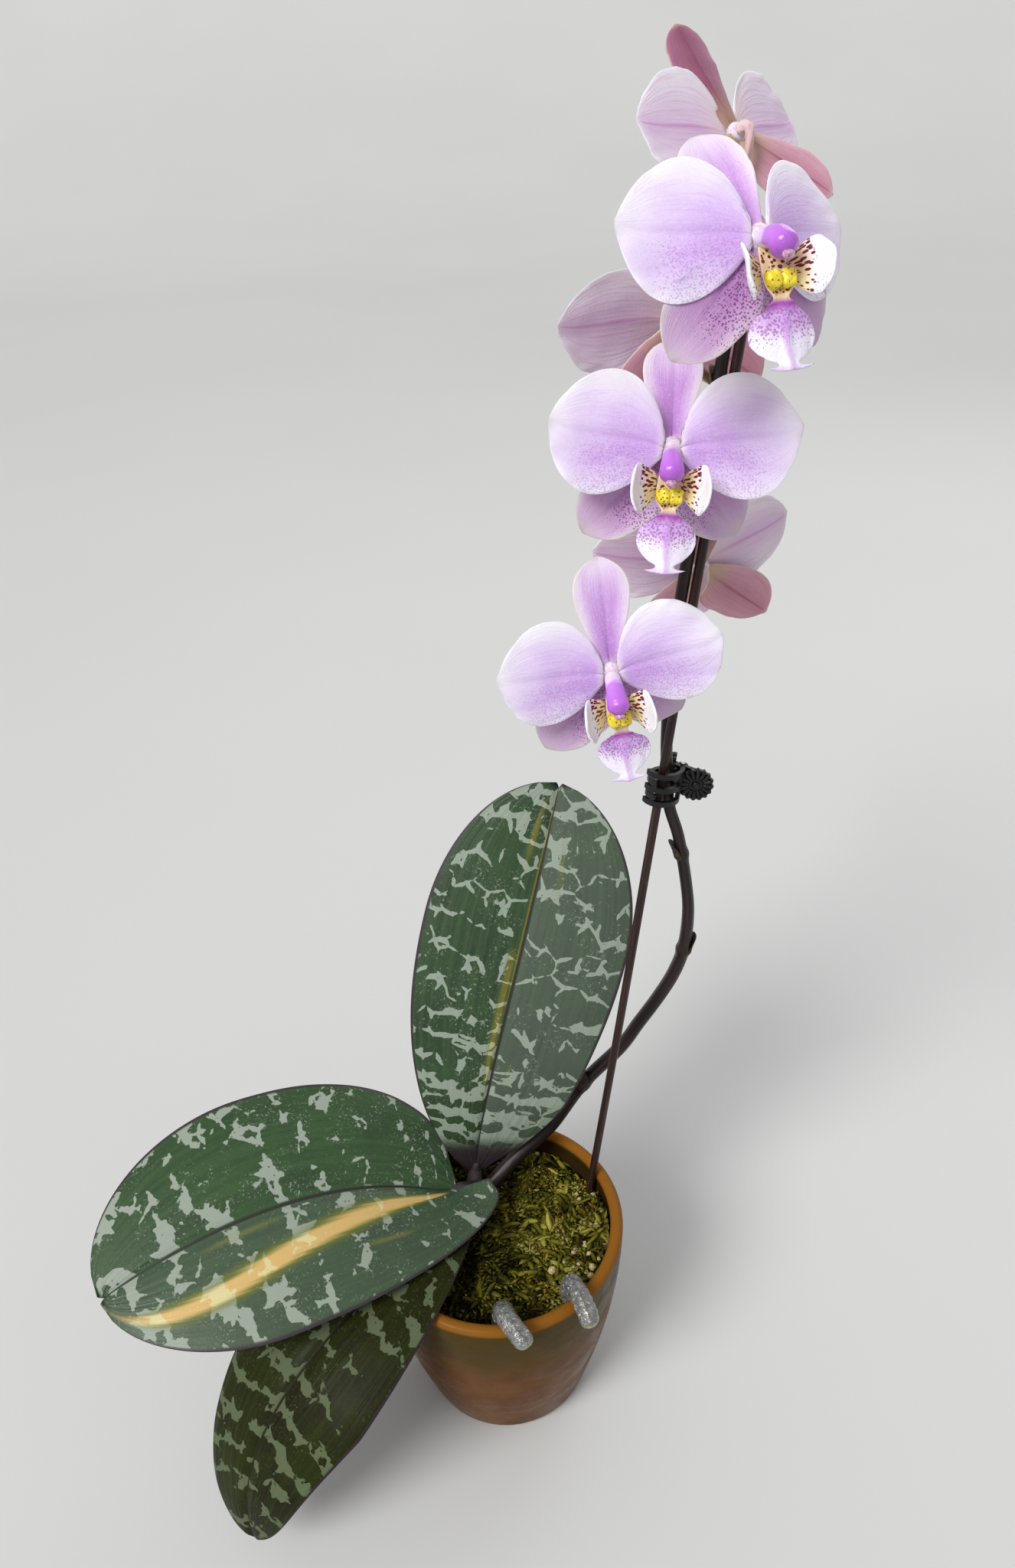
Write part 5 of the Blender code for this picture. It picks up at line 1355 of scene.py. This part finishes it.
def lobePaint(name, foot, dashed):
    # pale ear with a tinted foot; the inside has dashes that run outward from the root in rows,
    # close together in its upper corner
    material = newPaint(name, 0.42, Subsurface_Weight=0.18, Subsurface_Scale=0.003)
    t, v = bladePlace(material)
    at = objectPlace(material)
    grain = noise(at, 1.0, 3, 0.6)
    far = t + (grain - 0.5) * 0.14
    base = mixed(step(far, 0.24, 0.50), foot, tints["ear"])
    if dashed:
        dash = cells(place(t * 7.5, v * 15.0), 1.0, 0.75)
        mark = step(dash - (v * 0.21 + 0.35), 0.05, -0.04) * step(v * -0.04 + far, 0.54, 0.46)
        base = mixed(mark, base, tints["maroon"])
    low = step(v, 0.34, 0.08) * step(t, 0.35, 0.6)
    base = mixed(step(cells(at, 1.2), 0.34, 0.26) * (low * 0.7), base, tints["purple"])
    return finished(material, base, grain, 0.2)


def callusPaint():
    material = newPaint("yellow callus", 0.35, Coat_Weight=0.3)
    at = objectPlace(material)
    base = layered(mixed(step(noise(at, 0.5, 2), 0.35, 0.7), tints["callus"], tints["callusLight"]),
                   (step(cells(at), 0.34, 0.24), tints["callusDots"]))
    return finished(material, base, noise(at, 1.3, 3), 0.4)


def columnPaint():
    material = newPaint("violet column", 0.32, Coat_Weight=0.3, Coat_Roughness=0.2,
                        Subsurface_Weight=0.2, Subsurface_Scale=0.003)
    grain = noise(objectPlace(material), 0.6, 3, 0.6)
    far = bladePlace(material)[0] + (grain - 0.5) * 0.2
    return finished(material, ramp(far, tints["column"]), grain, 0.25)


def stalkPaint():
    material = newPaint("flower stalk", 0.45, Subsurface_Weight=0.15, Subsurface_Scale=0.003)
    t, v = bladePlace(material)
    lines = noise(place(t * 3.0, v * 8.0), 1.0, 3, 0.6)
    base = mixed(step(lines, 0.5, 0.75, 0.0, 0.5), ramp(t, tints["stalk"]), tints["stalkStreak"])
    return finished(material, base, lines, 0.3)


def columnParts(flower):
    # tube with a hooded end, and a small cap ball under its nose
    path, radii = curveWith(shape["columnPath"], shape["columnRadii"], 46)
    s = np.linspace(0, 1, len(path))
    close = np.sqrt(np.clip(1 - (np.clip(s - 0.80, 0, 1) / 0.203) ** 2, 0, 1))
    radii = np.maximum(np.maximum(radii, shape["noseRadius"] * (s > 0.6)) * close, 0.08)
    body = tubePart(setOut(path, flower), radii * flower["size"], 24)
    cap = ballPart(shape["capAt"], shape["capSize"], 1, 10, 14, 5, 0.1)
    return [body, setOutPart(cap, flower)]


def stalkPart(flower):
    # Bezier from the node, out and round to the back of the flower, swelling where it meets it
    z, sides = flower["node"], 18
    outward = outOf(flower["leaves"], unit(onPath(spikePath, z + 3) - onPath(spikePath, z - 3)))
    radius = float(spikeRadius(z))
    start = onPath(spikePath, z) + outward * radius * 0.6
    reach = start + outward * (shape["stalkReach"] + 0.4 * radius)
    back = setOut([(0, 0, -shape["stalkApproach"]), (0, 0, shape["sepalDrop"] - 2.2)], flower)
    s = np.linspace(0, 1, 48)
    swell = 0.15 * s + 0.55 * np.exp(-((s - 1) / 0.12) ** 2) + 0.25 * np.exp(-(s / 0.08) ** 2)
    ribs = 1 + 0.06 * np.sin(6 * turnsOf(sides))[None] * np.clip(2 * s, 0, 1)[:, None]
    return tubePart(bezier((start, reach, *back), s),
                    shape["stalkRadius"] * (1 + swell) * flower["size"], sides, across=ribs)


def flowerParts(flower, seed):
    # two petals, the upper sepal, two side sepals and the heart behind them; then the lip with
    # its two ears and the two halves of its callus
    (right, left), (dorsalBack, dorsalLean) = flower["petals"], flower["dorsal"]
    blades = [petalPart(flower, 1, right, seed), petalPart(flower, -1, left, seed + 3),
              sepalPart(flower, shape["dorsalSide"], dorsalLean, dorsalBack, 1, 0.0, (2, 3),
                        seed + 5)]
    for k, inner in enumerate((-1, 1)):
        blades.append(sepalPart(flower, shape["lateralSide"], shape["lateralAngles"][k],
                                flower["sepals"][k], inner, shape["innerSwell"], (4, 5),
                                seed + 6 + k))
    heart = ballPart((0, 0, shape["sepalDrop"]), shape["heart"], 6, 12, 18)
    lip = [lipPart(flower), lobePart(flower, 1), lobePart(flower, -1)]
    for side in (-1, 1):
        at = np.add(shape["callusAt"], (shape["callusApart"] * side, 0, 0))
        half = ballPart(at, shape["callusSize"], 4, 16, 20, 60 + side, 0.3, 0.6)
        lip.append(setOutPart(half, flower))
    return [*blades, setOutPart(heart, flower)], lip


def makeFlowers():
    petals = [paint(name, look) for name, look in petalLooks.items()
              for paint in (petalPaint, backPaint)]
    petals.append(grainyPaint("pale heart", 0.45, 0.8, tints["heart"], Subsurface_Scale=0.003))
    lips = [lipFacePaint(), lipBackPaint(), lobePaint("lobe inside", tints["earInside"], True),
            lobePaint("lobe outside", tints["earOutside"], False), callusPaint()]
    cap = grainyPaint("anther cap", 0.4, 1.1, tints["cap"], Subsurface_Scale=0.002)
    columns, stalks = [columnPaint(), cap], [stalkPaint()]
    for k, flower in enumerate(flowers, 1):
        blades, lip = flowerParts(flower, 200 + 10 * k)
        pieces = (("Petals", blades, petals, "petal"), ("Lip", lip, lips, "lip"),
                  ("Column", columnParts(flower), columns, "column"),
                  ("Stalk", [stalkPart(flower)], stalks, "flower_stalk"))
        for end, parts, paints, slot in pieces:
            node = f"bloom_{k}_{end.lower()}"
            makePiece(f"flower{k}{end}", parts, paints, "plant", slot, (node,))


makeStem()
makeRoots()
makeStake()
makeSpike()
print("stem, roots, stake and spike made")
makeFlowers()
print("flowers made")

clip = {"height": 276.4, "centre": (1.5, 1.7), "turn": 35.0, "hinge": 7.4, "lever": 42.0,
        "out": 3.0, "discAt": 5.0, "thick": 1.4, "ribs": 16, "ribFrom": 2.3, "ribTo": 5.8,
        "ribRadius": 1.0, "boss": (1.5, 1.5, 1.0), "edge": 0.22,
        "plastic": ((0.4, (0.003, 0.003, 0.0034)), (0.8, (0.011, 0.011, 0.012))),
        "steel": ((0.3, (0.32, 0.32, 0.33)), (0.7, (0.6, 0.6, 0.6)))}


def plasticPaint():
    material = newPaint("black plastic", 0.3, Specular_IOR_Level=0.35)
    at = objectPlace(material)
    scuff = noise(at, 0.7, 4, 0.7)
    return finished(material, ramp(scuff, clip["plastic"]), noise(at, 2.5, 2), 0.08,
                    rough=step(scuff, 0.3, 0.75, 0.2, 0.42))


def steelPaint():
    material = newPaint("steel wire", 0.3, Metallic=1.0)
    drawn = noise(objectPlace(material, (2, 2, 0.3)), 1.0, 3)
    return finished(material, ramp(drawn, clip["steel"]), rough=step(drawn, 0.3, 0.7, 0.25, 0.45))


def roundedCopy(name, node, body, paint):
    # the CAD jaw with its loose triangles merged, its flat faces joined and its edges rounded
    work = bmesh.new()
    work.from_mesh(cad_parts[node].data)
    bmesh.ops.remove_doubles(work, verts=work.verts, dist=0.01 * mm)
    flat = math.radians(1.0)
    bmesh.ops.dissolve_limit(work, angle_limit=flat, verts=work.verts, edges=work.edges)
    mesh = bpy.data.meshes.new(name)
    work.to_mesh(mesh)
    work.free()
    mesh.materials.append(paint)
    piece = addObject(name, mesh)
    edge = piece.modifiers.new("rounded", "BEVEL")
    edge.width, edge.segments, edge.use_clamp_overlap = clip["edge"] * mm, 2, True
    edge.limit_method, edge.angle_limit = "ANGLE", math.radians(30)
    mesh.shade_smooth()
    mesh.set_sharp_from_angle(angle=math.radians(50))
    dress(piece, body, "clip_plastic", (node,))


def daisyParts(side):
    # ribs laid round the outer face of a jaw's disc: half-sunk rods, fuller towards the rim as
    # sqrt(s), with a flattened ball in the middle; side is 1 for the back jaw, -1 for the front one
    low, high = onPath(stakePath, clip["height"] - 5), onPath(stakePath, clip["height"] + 5)
    rise = unit(high - low)
    right = unit(np.array((1.0, 0.0, 0.0)) - rise[0] * rise)
    back = np.cross(rise, right)
    centre = onPath(stakePath, clip["height"]) + np.array(clip["centre"]) @ np.stack([right, back])
    turn, lever = math.radians(clip["turn"]), math.radians(clip["lever"])
    hingeWay = right * math.cos(turn) + back * math.sin(turn)
    axes = np.stack([hingeWay, np.cross(rise, hingeWay)])
    along = np.array((math.cos(lever), side * math.sin(lever))) @ axes
    outward = np.array((-math.sin(lever), side * math.cos(lever))) @ axes
    middle = (centre + hingeWay * clip["hinge"] + along * clip["discAt"]
              + outward * (clip["out"] + clip["thick"] / 2))
    s = np.linspace(0, 1, 9)
    reach = clip["ribFrom"] + (clip["ribTo"] - clip["ribFrom"]) * s
    radii = clip["ribRadius"] * (0.45 + 0.55 * np.sqrt(s)) * closing(s * 0.97, 8)
    boss = ballPart((0, 0, 0), clip["boss"], 0, 8, 14)
    boss["points"] = boss["points"] @ np.stack([along, -side * rise, outward]) + middle
    ways = [math.cos(a) * along + math.sin(a) * rise for a in turnsOf(clip["ribs"])]
    return [*(tubePart(middle + reach[:, None] * way, radii, 10) for way in ways), boss]


plastic, steel = plasticPaint(), steelPaint()
roundedCopy("clipFront", "clip_jaw_front", "clip_front", plastic)
roundedCopy("clipBack", "clip_jaw_back", "plant", plastic)
makePiece("clipFrontDaisy", daisyParts(-1), [plastic], "clip_front", "clip_plastic")
makePiece("clipBackDaisy", daisyParts(1), [plastic], "plant", "clip_plastic")
for wire in ("clip_pin", "clip_spring"):
    paintNode(wire, steel)
print("clip made")
